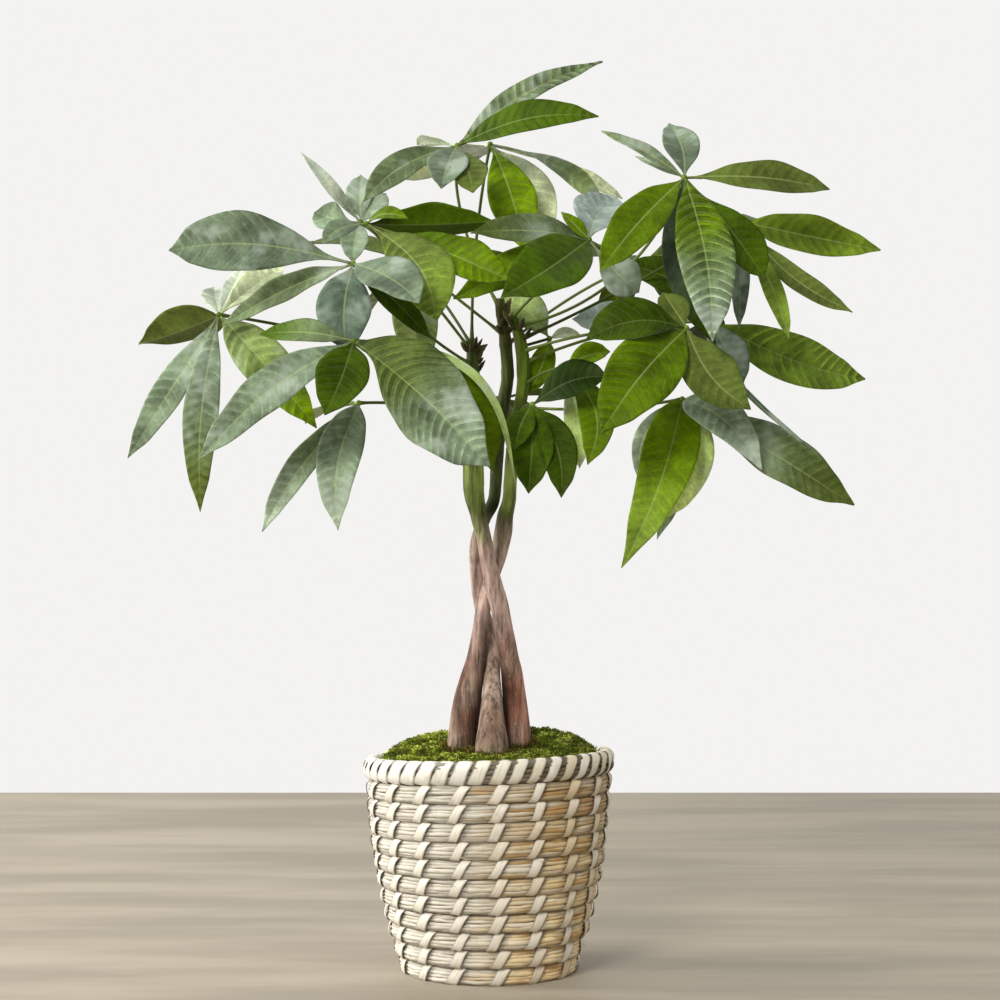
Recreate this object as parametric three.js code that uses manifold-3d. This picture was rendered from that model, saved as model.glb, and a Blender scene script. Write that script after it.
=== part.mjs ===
// A money tree: three braided stems with palmate leaves, in a nursery pot inside a coiled seagrass basket.
// Millimetres, +Z up, origin at the centre of the basket's underside, -Y is the front.

import * as THREE from "three";
import { mergeVertices } from "three/addons/utils/BufferGeometryUtils.js";
import Module from "manifold-3d";

const wasm = await Module();
wasm.setup();

// Driving sizes of the basket
const rimTop = 168;
const rimHeight = 18.2;
const rimWidth = 11.6;
const rimRadius = 95.6;
const rimSides = 6;
const rimSquareness = 0.7;
const rimStrips = 41;
const stripHeight = 0.9;
const rimSlope = 0.035;
const rimTilt = 0.07;
const wallTop = rimTop - rimHeight;
const wallTopRadius = 93.6;
const wallThickness = 10;
const wallCurl = 1.8;
const coilCount = 11;
const coilDepth = 2.2;
const coilShoulder = 0.27;
const stitchColumns = 18;
const stitchHeight = 1.3;
const floorThickness = 6;
const footRadius = 66.5;

// Driving sizes of the nursery pot, the soil and the moss
const seatGap = 0.3;
const potHeight = 144;
const potTopRadius = 75;
const potFootRadius = 54;
const potWall = 1.5;
const potLip = 2;
const potLipHeight = 8;
const potSides = 24;
const drainHoles = 5;
const drainRadius = 4;
const drainCircle = 38;
const drainSides = 8;
const mossEdge = 83;
const mossEdgeHeight = 163.5;
const mossBackRise = 11;
const mossShoulder = 3;
const mossDome = 6;
const mossBackSwell = 8;
const mossClump = 1.6;
const mossPitch = [20, 23, 30];
const mossSides = 22;
const mossRings = [1, 0.95, 0.78, 0.52, 0.24];
const stemSides = 8;

// Driving sizes of the leaves
const stalkRadius = 1.5;
const stalkSides = 4;
const stalkSteps = 3;
const hubRadius = 3.3;
const leafletRoot = 1.9;
const leafletRootHalf = 0.8;
const ribStep = 0.01;
const bladeRib = 1.1;
const bladeEdge = 0.8;
const bladeArch = 0.1;
const bladeWidest = 0.56;
const foldAngle = THREE.MathUtils.degToRad(14);

// Outline of a leaflet: share of its length from the hub, and share of its half width there
const longBlade = [[0, 0], [0.1, 0.1], [0.3, 0.74], [0.56, 1], [0.84, 0.58], [1, 0]];
const shortBlade = [[0, 0], [0.1, 0.12], [0.42, 0.95], [0.78, 0.72], [1, 0]];
const shortLeaflet = 94;
const rounding = 1e-6;

// The crown is laid out as it looks from the front, from an eye this far away:
// x and z are read in the plane of the trunk, and a depth y carries a point along its line of sight.
const eye = new THREE.Vector3(8.4, -2736, 551);

function fromFront(x, y, z) {
  const reach = 1 + y / -eye.y;
  return new THREE.Vector3(eye.x + (x - eye.x) * reach, y, eye.z + (z - eye.z) * reach);
}

// The three stems from root to shoot tip: x, y, z and radius at each point of their braid
const stems = {
  left: [
    [-22, 5, 112, 8], [-21, 4, 150, 11.5], [-20, 4, 168, 12.5], [-18.5, 4, 188, 11.8], [-16, 4, 209, 10.4],
    [-11.5, 4, 232, 7.8], [-7.5, 3, 255, 6.2], [-4, 3, 278, 5.7], [1.5, 5, 300, 5.6], [7, 5, 318, 6.2],
    [10.5, 4, 335, 6.8], [12.5, 3, 349, 5.9], [15.6, 2, 363, 5], [17, 1, 390, 4.9], [21, -1, 420, 4.8],
    [26, -3, 450, 4.8], [24.5, -4, 478, 5], [18, -4, 502, 2.6],
  ],
  right: [
    [21, 7, 112, 8], [21, 6, 150, 11], [21, 6, 168, 11.5], [20.5, 6, 188, 10.6], [19.4, 5, 209, 9.2],
    [16.5, 0, 232, 8], [12.5, -6, 255, 7], [8.4, -9, 278, 6.7], [3, -9.5, 300, 6.3], [-1, -9, 318, 5.8],
    [-4, -8, 333, 5.6], [-8, -6, 350, 6.2], [-11, -5, 366, 7.6], [-12, -5, 392, 7.8], [-12, -6, 422, 6],
    [-12, -8, 452, 5], [-13, -9, 482, 4.2],
  ],
  middle: [
    [3, -12, 112, 8], [2.5, -18, 150, 12.5], [2, -20, 168, 13.2], [2, -16, 190, 10.3], [2.6, -8, 209, 8],
    [2.6, 3.4, 225, 6.1], [2.2, 12, 240, 6.2], [0.4, 16, 257, 5.6], [-6, 17, 278, 5.2], [-9, 16.5, 300, 5.2],
    [-9.5, 14, 320, 5.2], [-8, 11, 333, 5], [-3, 9, 347, 4.7], [4, 9, 362, 4.6], [6, 9, 388, 4.8],
    [8, 10, 420, 5], [14, 10, 452, 4.8], [12.5, 8, 482, 4.4], [8, 6, 512, 3.7],
  ],
};

// Every leaf: the shoot and height that its stalk leaves, how far the stalk's middle bends in x and z, its
// hub, and its leaflets. A leaflet is the place of its tip x, y, z, its width, how far its upper face turns
// from up to the front in degrees, how far the middle of its rib bows in x and z, where it is widest, and
// for a lopsided one how much nearer the tip its right half is widest, seen from its hub.
const leaves = [
  {
    name: "leaf_far_left", shoot: "right", height: 452, bend: [0, 6], hub: [-205, -60, 502],
    leaflets: [
      [-275, -95, 393, 25, 62, 1, 1, 0.56], [-220, -120, 352, 27, 74, -5, 0, 0.52],
      [-266, -10, 480, 43, -42, -2, -2, 0.36], [-209, 28, 523, 24, -35, 0, 0, 0.56],
      [-156, -20, 538, 24, 56, 3, 5, 0.56], [-186, 10, 540, 14, 14, 0, 0, 0.56],
      [-131, -78, 416, 38, 62, -3, 7, 0.52],
    ],
  },
  {
    name: "leaf_left", shoot: "right", height: 464, bend: [0, -6], hub: [-103, -92, 541],
    leaflets: [
      [-243, -112, 551, 49, 68, -4, 9, 0.62], [-202, -80, 494, 25, 48, 0, 4, 0.56],
      [-108, -112, 474, 42, 72, -4, 0, 0.54], [-53, -165, 511, 42, 45, 4, 3, 0.5],
      [-44, -95, 484, 21, 58, 0, 2, 0.56],
    ],
  },
  {
    name: "leaf_upper_left", shoot: "right", height: 474, bend: [2, 0], hub: [-93, -40, 571],
    leaflets: [
      [-40, -122, 498, 47, 62, 13, 4, 0.6], [15, -96, 528, 36, 56, 4, 1, 0.68],
      [3, -35, 573, 36, -48, 2, -1, 0.52], [-61, -62, 575, 16, 42, -2, 5, 0.5],
      [-126, -66, 556, 18, 50, -2, 4, 0.6],
    ],
  },
  {
    name: "leaf_upper_left_young", shoot: "middle", height: 486, bend: [0, 0], hub: [-97, 20, 572],
    leaflets: [
      [-142, 0, 625, 12, 50, 0, 0, 0.5], [-97, 40, 608, 22, 66, -1, 0, 0.6],
      [-78, 34, 594, 22, 62, 0, 1, 0.56], [-132, 34, 580, 26, 60, -1, -2, 0.7],
      [-103, -8, 542, 22, 68, -2, 0, 0.5],
    ],
  },
  {
    name: "leaf_top", shoot: "middle", height: 506, bend: [-12, 4], hub: [-24, 22, 630],
    leaflets: [
      [86, 60, 693, 24, 42, -4, 7, 0.5], [83, -16, 652, 30, 56, 0, 9, 0.5],
      [-95, -12, 588, 26, 56, -6, 5, 0.56], [-54, 78, 631, 26, -34, 0, 1, 0.56],
      [-67, 56, 605, 30, -56, 0, -1, 0.6], [-36, -52, 598, 32, 55, -1, 2, 0.56],
      [-12, -46, 595, 30, 52, 1, 3, 0.7],
    ],
  },
  {
    name: "leaf_top_right", shoot: "right", height: 478, bend: [-4, 0], hub: [1, 62, 631],
    leaflets: [
      [27, -4, 551, 38, 76, 3, 1, 0.58], [43, 48, 560, 36, 84, 9, 0, 0.56],
      [86, 62, 587, 18, 60, 4, 8, 0.74], [101, 96, 590, 16, 46, 3, 4, 0.78],
      [-26, 150, 612, 34, -20, 0, 3, 0.56],
    ],
  },
  {
    name: "leaf_centre_right", shoot: "left", height: 501, bend: [0, 0], hub: [76, -60, 559],
    leaflets: [
      [-14, -88, 564, 30, 50, 0, 4, 0.5], [9, -140, 515, 48, 68, 1, -1, 0.46],
      [55, -62, 580, 13, 46, 0, 0, 0.5], [98, 0, 590, 44, 60, -5, 2, 0.6],
      [114, -70, 519, 32, 66, -1, -2, 0.7], [-27, -66, 514, 30, 60, 0, 3, 0.56],
    ],
  },
  {
    name: "leaf_right_top", shoot: "left", height: 493, bend: [14, -18], hub: [148, -82, 606],
    leaflets: [
      [85, -60, 641, 15, 32, -1, 3, 0.5], [136, -6, 647, 28, 60, 4, 1, 0.56],
      [258, -80, 597, 29, 54, 3, 4, 0.58], [84, -136, 535, 36, 62, -3, 1, 0.52],
      [170, -168, 482, 43, 72, 5, 0, 0.5], [209, -112, 530, 36, 44, 1, 2, 0.7],
      [111, -20, 622, 10, 40, 0, 0, 0.5], [172, -66, 479, 36, 62, -11, 0, 0.5],
    ],
  },
  {
    name: "leaf_right", shoot: "left", height: 483, bend: [0, -4], hub: [190, -22, 573],
    leaflets: [
      [297, -30, 551, 34, 62, 0, -1, 0.5], [276, -78, 504, 20, 52, -3, -8, 0.6],
      [228, -90, 484, 16, 52, 3, -1, 0.6], [190, -60, 492, 15, 66, 0, 0, 0.56],
      [226, 78, 566, 34, 10, 0, 3, 0.56],
    ],
  },
  {
    name: "leaf_right_low", shoot: "left", height: 465, bend: [0, 8], hub: [168, 14, 497],
    leaflets: [
      [286, 6, 453, 41, 70, 5, -8, 0.5], [193, -30, 449, 32, 66, 0, 1, 0.56],
      [101, -2, 540, 34, 60, 5, 9, 0.5], [63, 22, 499, 30, 60, 0, 0, 0.7],
      [230, 104, 462, 36, 10, 0, 3, 0.56], [160, 104, 466, 34, -30, 0, 3, 0.56],
    ],
  },
  {
    name: "leaf_front_right", shoot: "left", height: 474, bend: [0, 6], hub: [150, -122, 492],
    leaflets: [
      [85, -182, 412, 53, 72, -3, 3, 0.48], [74, -140, 484, 42, 46, 0, 9, 0.56],
      [199, -160, 430, 41, 64, -6, -5, 0.52], [254, -126, 393, 7, 24, -2, -4, 0.5],
      [132, -98, 519, 24, 50, 0, 0, 0.56],
    ],
  },
  {
    name: "leaf_low_right", shoot: "left", height: 432, bend: [0, -4], hub: [147, -92, 438],
    leaflets: [
      [101, -150, 309, 42, 80, 5, 0, 0.34], [278, -112, 357, 42, 56, 1, 1, 0.58],
      [208, -136, 384, 34, 56, 3, 9, 0.4], [117, -96, 371, 14, 60, -14, 5, 0.5],
      [128, -82, 331, 22, 72, 5, 0, 0.5], [130, -100, 344, 44, 76, 9, 0, 0.46],
    ],
  },
  {
    name: "leaf_centre_low", shoot: "left", height: 425, bend: [0, 3], hub: [33, -48, 434],
    leaflets: [
      [30, -92, 366, 34, 70, 1, 0, 0.5], [55, -92, 363, 30, 68, 8, 1, 0.5],
      [91, -76, 455, 33, 56, 0, 7, 0.54], [20, -86, 400, 22, 60, -2, 2, 0.56],
    ],
  },
  {
    name: "leaf_centre_pale", shoot: "left", height: 448, bend: [0, 3], hub: [57, -30, 462],
    leaflets: [
      [69, -58, 385, 20, 74, 3, 0, 0.6], [92, -34, 474, 24, 44, 0, 3, 0.56],
      [75, -85, 388, 28, 62, 15, 2, 0.56],
    ],
  },
  {
    name: "leaf_centre_young", shoot: "left", height: 478, bend: [0, 0], hub: [46, 12, 484],
    leaflets: [
      [10, 34, 516, 30, 70, 2, 4, 0.56], [30, 2, 442, 20, 72, 2, 0, 0.5], [71, 14, 486, 12, 40, 0, 3, 0.5],
    ],
  },
  {
    name: "leaf_front_left", shoot: "right", height: 440, bend: [0, 12], hub: [-103, -128, 482],
    leaflets: [
      [-222, -168, 391, 33, 62, -2, 9, 0.52], [1, -198, 386, 66, 62, 2, 5, 0.54, 0.1],
      [3, -122, 382, 42, 50, 22, 14, 0.6], [20, -128, 374, 7, 60, 28, 28, 0.5],
      [-125, -170, 426, 40, 72, 2, 0, 0.5], [-174, -112, 487, 24, 46, 0, 4, 0.56],
    ],
  },
  {
    name: "leaf_low_left", shoot: "right", height: 424, bend: [0, 4], hub: [-99, -80, 435],
    leaflets: [
      [-173, -110, 337, 23, 48, -7, 0, 0.5], [-115, -124, 338, 34, 74, -8, 0, 0.4],
      [-140, -20, 420, 28, 10, 0, 3, 0.56],
    ],
  },
  {
    name: "leaf_back_left", shoot: "right", height: 478, bend: [0, 6], hub: [-62, 116, 542],
    leaflets: [
      [-140, 160, 556, 40, 10, 0, 6, 0.56], [-112, 156, 452, 38, 10, -6, 4, 0.56],
      [-70, 230, 520, 42, -30, 0, 5, 0.56], [20, 190, 540, 38, -10, 0, 6, 0.56],
      [-52, 190, 452, 38, -40, 0, 5, 0.56],
    ],
  },
  {
    name: "leaf_back_right", shoot: "middle", height: 478, bend: [0, 6], hub: [112, 110, 540],
    leaflets: [
      [206, 160, 560, 42, 10, 0, 6, 0.56], [180, 190, 480, 40, -20, 0, 6, 0.56],
      [70, 215, 545, 40, -30, 0, 5, 0.56], [30, 150, 560, 36, -10, 0, 6, 0.56],
      [86, 200, 486, 28, -40, 0, 5, 0.56],
    ],
  },
  {
    name: "leaf_back_low", shoot: "middle", height: 440, bend: [0, 6], hub: [10, 120, 440],
    leaflets: [
      [-64, 170, 415, 38, -10, 0, 6, 0.56], [-30, 215, 402, 38, -30, 0, 5, 0.56],
      [40, 215, 395, 40, -30, 0, 5, 0.56], [90, 170, 430, 36, -10, 0, 6, 0.56],
    ],
  },
];

// Solids from rings of points: each ring joins the next. Both ends are closed, or the last ring
// joins the first. A column listed in flipped is split along its other diagonal.
function loft(rings, { flipped = [], joined = false } = {}) {
  const sides = rings[0].length;
  const last = rings.length - 1;
  const faces = [];
  for (let i = 0; i < (joined ? rings.length : last); i += 1) {
    const next = (i + 1) % rings.length;
    for (let j = 0; j < sides; j += 1) {
      const right = (j + 1) % sides;
      const [a, b, c, d] = [i * sides + j, i * sides + right, next * sides + right, next * sides + j];
      if (flipped.includes(j)) {
        faces.push(a, b, d, b, c, d);
      } else {
        faces.push(a, b, c, a, c, d);
      }
    }
  }
  for (let j = 1; j < sides - 1 && !joined; j += 1) {
    faces.push(0, j + 1, j);
    faces.push(last * sides, last * sides + j, last * sides + j + 1);
  }
  const geometry = new THREE.BufferGeometry();
  const positions = rings.flat().flatMap((point) => point.toArray());
  geometry.setAttribute("position", new THREE.Float32BufferAttribute(positions, 3));
  geometry.setIndex(faces);
  return geometry;
}

function toSolid(geometry) {
  const bare = geometry.clone();
  bare.deleteAttribute("normal");
  bare.deleteAttribute("uv");
  const merged = mergeVertices(bare, 1e-4);
  return new wasm.Manifold(new wasm.Mesh({
    numProp: 3,
    vertProperties: new Float32Array(merged.attributes.position.array),
    triVerts: new Uint32Array(merged.index.array),
  }));
}

function toGeometry(solid) {
  const mesh = solid.getMesh();
  const geometry = new THREE.BufferGeometry();
  geometry.setAttribute("position", new THREE.BufferAttribute(mesh.vertProperties, mesh.numProp));
  geometry.setIndex(new THREE.BufferAttribute(mesh.triVerts, 1));
  return geometry;
}

function named(name, geometry, color, roughness) {
  const material = new THREE.MeshStandardMaterial({ color, roughness, metalness: 0 });
  const mesh = new THREE.Mesh(geometry, material);
  mesh.name = name;
  return mesh;
}

// The handmade rows climb to the right and dip to the back, more so towards the rim
function handmade(point) {
  point.z += (rimSlope * point.x - rimTilt * point.y) * point.z / rimTop;
  return point;
}

// A level ring of points about the Z axis, anticlockwise seen from above, or clockwise
function levelRing(count, radiusAt, z, clockwise = false) {
  return Array.from({ length: count }, (unused, j) => {
    const angle = (clockwise ? -j : j) * 2 * Math.PI / count;
    const radius = radiusAt(j);
    return new THREE.Vector3(radius * Math.cos(angle), radius * Math.sin(angle), z);
  });
}

// Outer radius of the wall: nearly upright under the rim, and curving in towards the foot
function wallRadius(z) {
  const share = 1 - (1 - Math.min(z / wallTop, 1)) ** wallCurl;
  return footRadius + (wallTopRadius - footRadius) * share;
}

// The wall is a stack of round coils on a flat floor. Each stitch stands out of its coil and leans to the
// right: its foot is on the first of three columns of points, and its head on the column to the right.
function basketWall() {
  const columns = stitchColumns * 3;
  const coilHeight = wallTop / coilCount;
  const rings = [
    levelRing(columns, () => wallRadius(floorThickness) - wallThickness, floorThickness, true),
    levelRing(columns, () => wallRadius(wallTop) - wallThickness, wallTop, true),
  ];
  for (let coil = 0; coil < coilCount; coil += 1) {
    const top = wallTop - coil * coilHeight;
    const upper = top - coilHeight * coilShoulder;
    const lower = top - coilHeight * (1 - coilShoulder);
    const head = (j) => (j % 3 === 2 ? stitchHeight : 0);
    const foot = (j) => (j % 3 === 0 ? stitchHeight : 0);
    rings.push(levelRing(columns, () => wallRadius(top) - coilDepth, top, true));
    rings.push(levelRing(columns, (j) => wallRadius(upper) + head(j), upper, true));
    rings.push(levelRing(columns, (j) => wallRadius(lower) + foot(j), lower, true));
  }
  rings.push(levelRing(columns, () => footRadius - coilDepth, 0, true));
  rings.flat().forEach(handmade);
  return loft(rings);
}

// The rim is one thick coil wrapped in slanted strips, each a ridge between two grooves
function basketRim() {
  const columns = rimStrips * 2;
  const middleRadius = rimRadius - rimWidth / 2;
  const squared = (value) => Math.sign(value) * Math.abs(value) ** rimSquareness;
  const flat = squared(Math.sin(2 * Math.PI / rimSides));
  const rings = Array.from({ length: rimSides }, (unused, k) => {
    const angle = Math.PI - k * 2 * Math.PI / rimSides;
    const [across, up] = [Math.cos(angle), Math.sin(angle)];
    const z = rimTop - rimHeight / 2 + (rimHeight / 2 - seatGap) * squared(up) / flat;
    const ridge = (j) => (up > 0 ? j % 2 : 1 - j % 2) * (across > -0.1 ? stripHeight : 0);
    return levelRing(columns, (j) => middleRadius + rimWidth / 2 * squared(across) + ridge(j), z, true);
  });
  rings.flat().forEach(handmade);
  return loft(rings, { joined: true });
}

// A plain nursery pot with a rolled lip and drain holes in its floor
function nurseryPot() {
  const foot = floorThickness + seatGap;
  const top = foot + potHeight;
  const outline = [
    [potFootRadius - potWall, foot + potWall], [potTopRadius - potWall, top], [potTopRadius + potLip, top],
    [potTopRadius + potLip, top - potLipHeight], [potTopRadius - potLip, top - potLipHeight],
    [potFootRadius, foot],
  ];
  let solid = toSolid(loft(outline.map(([radius, z]) => levelRing(potSides, () => radius, z, true))));
  for (let hole = 0; hole < drainHoles; hole += 1) {
    const angle = hole * 2 * Math.PI / drainHoles;
    const drain = new THREE.CylinderGeometry(drainRadius, drainRadius, 4 * potWall, drainSides);
    drain.rotateX(Math.PI / 2);
    drain.translate(drainCircle * Math.cos(angle), drainCircle * Math.sin(angle), foot + potWall / 2);
    solid = solid.subtract(toSolid(drain));
  }
  return toGeometry(solid);
}

// Soil fills the pot to its lip, with a plain hole round each stem
function soil() {
  const foot = floorThickness + seatGap + potWall + seatGap;
  const top = floorThickness + seatGap + potHeight;
  const outline = [
    [potFootRadius - potWall - seatGap, foot],
    [potTopRadius - potWall - 2 * seatGap, top],
  ];
  const fill = loft(outline.map(([radius, z]) => levelRing(potSides, () => radius, z)));
  return toGeometry(withoutStems(toSolid(fill)));
}

// Height of the moss: a low mound, higher behind the stems, broken into clumps
function mossHeight(x, y, radius) {
  const inward = 1 - (radius / mossEdge) ** 2;
  const back = THREE.MathUtils.smoothstep(y, -mossEdge / 4, mossEdge * 0.7);
  const [across, deep, slanted] = mossPitch.map((pitch) => 2 * Math.PI / pitch);
  const clumps = Math.sin(x * across) * Math.cos(y * deep) + 0.6 * Math.sin((x + y) * slanted);
  const edge = mossEdgeHeight + mossBackRise * back;
  return edge + mossDome * inward + mossBackSwell * back * Math.sqrt(inward) + mossClump * clumps * inward;
}

function moss() {
  const foot = floorThickness + potHeight + 2 * seatGap;
  const rings = [levelRing(mossSides, () => mossEdge - mossShoulder, foot)];
  for (const radius of mossRings.map((share) => share * mossEdge)) {
    const ring = levelRing(mossSides, () => radius, 0);
    ring.forEach((point) => {
      point.z = mossHeight(point.x, point.y, radius) - (radius === mossEdge ? mossShoulder : 0);
    });
    ring.forEach(handmade);
    rings.push(ring);
  }
  return toGeometry(withoutStems(toSolid(loft(rings))));
}

// A round tube through points [x, y, z, radius], smoothed, with a few sides
function tube(stations, sides, grown = 0) {
  const curve = new THREE.CatmullRomCurve3(stations.map(([x, y, z]) => new THREE.Vector3(x, y, z)));
  const rings = stations.map((station, i) => {
    const centre = new THREE.Vector3(...station);
    const along = curve.getTangent(i / (stations.length - 1));
    const radius = station[3] + grown;
    const across = new THREE.Vector3(0, 1, 0).cross(along).normalize();
    const deep = new THREE.Vector3().crossVectors(along, across);
    return Array.from({ length: sides }, (unused, j) => {
      const angle = j * 2 * Math.PI / sides;
      const offset = across.clone().multiplyScalar(radius * Math.cos(angle));
      return centre.clone().add(offset).addScaledVector(deep, radius * Math.sin(angle));
    });
  });
  return loft(rings);
}

function withoutStems(solid) {
  return Object.values(stems).reduce((rest, stations) => {
    return rest.subtract(toSolid(tube(stations, stemSides, seatGap)));
  }, solid);
}

// The point on a shoot's centre line at a height
function onShoot(stations, height) {
  const upper = stations.findIndex((station) => station[2] >= height);
  const [a, b] = [stations[upper - 1], stations[upper]];
  const share = (height - a[2]) / (b[2] - a[2]);
  return new THREE.Vector3(...a).lerp(new THREE.Vector3(...b), share);
}

// A leaf stalk: a thin tube from its shoot to the hub of the leaf, bent a little at its middle
function stalk(root, hub, [x, z]) {
  const middle = root.clone().lerp(hub, 0.5).add(new THREE.Vector3(2 * x, 0, 2 * z));
  const curve = new THREE.QuadraticBezierCurve3(root, middle, hub);
  const stations = curve.getPoints(stalkSteps).map((point) => [...point.toArray(), stalkRadius]);
  return tube(stations, stalkSides);
}

// How a blade's outline is stretched along its rib, so that it is widest at a share of its length
function stretch(widest) {
  return Math.log(widest) / Math.log(bladeWidest);
}

// Share of the half width at a share of a blade's length
function breadthAt(outline, share) {
  const next = Math.max(outline.findIndex(([place]) => place >= share - rounding), 1);
  const [low, high] = [outline[next - 1], outline[next]];
  return THREE.MathUtils.mapLinear(share, low[0], high[0], low[1], high[1]);
}

// One leaflet: a thin blade, folded along its rib and bowed from hub to tip
function leaflet(hub, [x, y, z, width, turn, bowX, bowZ, widest, skew = 0]) {
  const chord = fromFront(x, y, z).sub(hub);
  const length = chord.length();
  const along = chord.clone().normalize();
  const lean = THREE.MathUtils.degToRad(turn);
  const facing = new THREE.Vector3(0, -Math.sin(lean), Math.cos(lean));
  facing.addScaledVector(along, -facing.dot(along)).normalize();
  const bow = new THREE.Vector3(bowX, facing.y * bladeArch * length, bowZ);
  const rib = (t) => hub.clone().addScaledVector(chord, t).addScaledVector(bow, Math.sin(Math.PI * t));
  const outline = length > shortLeaflet ? longBlade : shortBlade;
  const rings = outline.map(([share]) => {
    const t = Math.max(share ** stretch(widest), leafletRoot / length);
    const tangent = rib(Math.min(t + ribStep, 1)).sub(rib(t - ribStep)).normalize();
    const up = facing.clone().addScaledVector(tangent, -facing.dot(tangent)).normalize();
    const side = new THREE.Vector3().crossVectors(tangent, up);
    const half = (across) => {
      const breadth = breadthAt(outline, share ** (stretch(widest) / stretch(widest + across * skew)));
      return Math.max(breadth * width / 2, leafletRootHalf);
    };
    const point = (across, sink) => rib(t)
      .addScaledVector(side, across * half(across) * Math.cos(foldAngle))
      .addScaledVector(up, Math.abs(across) * half(across) * Math.sin(foldAngle) - sink);
    const upper = [point(-1, 0), point(0, 0), point(1, 0)];
    const under = [point(1, bladeEdge), point(0, bladeRib), point(-1, bladeEdge)];
    return [...upper, ...under];
  });
  return loft(rings, { flipped: [1, 4] });
}

function leaf({ shoot, height, bend, hub, leaflets }) {
  const centre = fromFront(...hub);
  const knot = new THREE.IcosahedronGeometry(hubRadius, 0);
  knot.translate(...centre.toArray());
  const pieces = [
    knot,
    stalk(onShoot(stems[shoot], height), centre, bend),
    ...leaflets.map((row) => leaflet(centre, row)),
  ];
  const whole = pieces.map(toSolid).reduce((joined, piece) => joined.add(piece));
  return toGeometry(whole.subtract(toSolid(tube(stems[shoot], stemSides, seatGap))));
}

const group = new THREE.Group();
group.add(named("basket", basketWall(), 0xa79c80, 0.85));
group.add(named("basket_rim", basketRim(), 0xe6dcc4, 0.7));
group.add(named("nursery_pot", nurseryPot(), 0x1e1e1c, 0.5));
group.add(named("soil", soil(), 0x2e2218, 0.95));
group.add(named("moss", moss(), 0x5f7a1e, 0.95));
for (const [side, stations] of Object.entries(stems)) {
  group.add(named(`stem_${side}`, tube(stations, stemSides), 0x8a7465, 0.8));
}
for (const row of leaves) {
  group.add(named(row.name, leaf(row), 0x4a7a1c, 0.45));
}

export default group;
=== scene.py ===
# Looks for a potted money tree: fine leaves, bark, moss and a sewn seagrass basket around the CAD frame.
# Sizes are in millimetres until a mesh is made. +Z is up and -Y is the front.

from collections import namedtuple
from math import copysign, cos, degrees, exp, hypot, log, pi, radians, sin, sqrt
import random

import bpy
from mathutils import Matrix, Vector
from mathutils.noise import noise


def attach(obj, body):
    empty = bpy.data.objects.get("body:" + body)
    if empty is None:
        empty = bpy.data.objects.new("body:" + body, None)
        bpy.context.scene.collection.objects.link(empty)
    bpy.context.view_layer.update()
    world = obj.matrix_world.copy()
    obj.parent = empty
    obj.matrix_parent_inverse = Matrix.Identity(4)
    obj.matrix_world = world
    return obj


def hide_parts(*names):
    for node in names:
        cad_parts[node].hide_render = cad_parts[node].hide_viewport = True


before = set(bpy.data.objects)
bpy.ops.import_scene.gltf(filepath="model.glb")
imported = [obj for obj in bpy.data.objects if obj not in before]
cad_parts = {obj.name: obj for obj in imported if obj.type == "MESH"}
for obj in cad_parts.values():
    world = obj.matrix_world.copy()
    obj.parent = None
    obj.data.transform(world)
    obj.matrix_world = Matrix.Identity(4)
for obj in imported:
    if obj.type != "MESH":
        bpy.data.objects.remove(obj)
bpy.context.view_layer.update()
scene = bpy.context.scene

MM = 0.001
TURN = 2 * pi

# The crown is laid out as it looks from the front, from an eye at this place
EYE = Vector((8.4, -2736, 551))
CAMERA_PITCH = 3.97
CAMERA_LENS = 129.6
SENSOR_WIDTH = 36

# Basket
RIM_TOP = 168
RIM_HEIGHT = 18.2
RIM_WIDTH = 11.6
RIM_RADIUS = 95.6
RIM_SLOPE = 0.035
RIM_TILT = 0.07
RIM_LIGHT = 0.12
RIM_STEPS = 150
RIM_STRANDS = 14
RIM_STRAND_RADIUS = 1.9
RIM_STRIPS = 41
RIM_STRIP_WIDTH = (8.6, 12.4)
RIM_LEAN = 8.7
RIM_ROUNDNESS = 0.78
WALL_TOP = RIM_TOP - RIM_HEIGHT
WALL_TOP_RADIUS = 93.6
WALL_THICKNESS = 10
WALL_CURL = 1.8
CORE_STEPS = 144
COILS = 11
COIL_HEIGHT = WALL_TOP / COILS
COIL_DEPTH = 4.6
COIL_STRANDS = 6
COIL_REACH = 74
COIL_ROUNDNESS = 0.6
STRAND_RADIUS = 1.75
STRAND_STEPS = 170
STRAND_SIDES = 6
STITCH_SPACING = 30.4
STITCH_FRONT = 7
STITCH_WIDTH = 8
STITCH_LEAN = 11
STITCH_REACH = 98
STITCH_STEPS = 12
FOOT_RADIUS = 66.5
FLOOR_THICKNESS = 6
FLOOR_RIPPLES = 40
FRAYS = 46

# Moss
MOSS_EDGE = 83
MOSS_EDGE_HEIGHT = 163.5
MOSS_BACK_RISE = 11
MOSS_DOME = 6
MOSS_BACK_SWELL = 8
MOSS_CLUMP = 1.6
MOSS_PITCH = (20, 23, 30)
MOSS_RINGS = 34
MOSS_STEPS = 150
MOSS_TUFTS = 11000

# Stems
STEM_SIDES = 30
STEM_STEPS = 9
MOSSY_BELOW = (184, 168)
BRAID_TOP = (225, 285)
GREEN_FROM = (318, 352)
SHOOT_FROM = (385, 440)
CORKY_FROM = (430, 500)

# Buds near the top of each shoot, and how many rings down its tube they reach
BUDS = {"left": 6, "right": 18, "middle": 9}
BUD_REACH = 8
BUD_SIDES = 8

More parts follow.
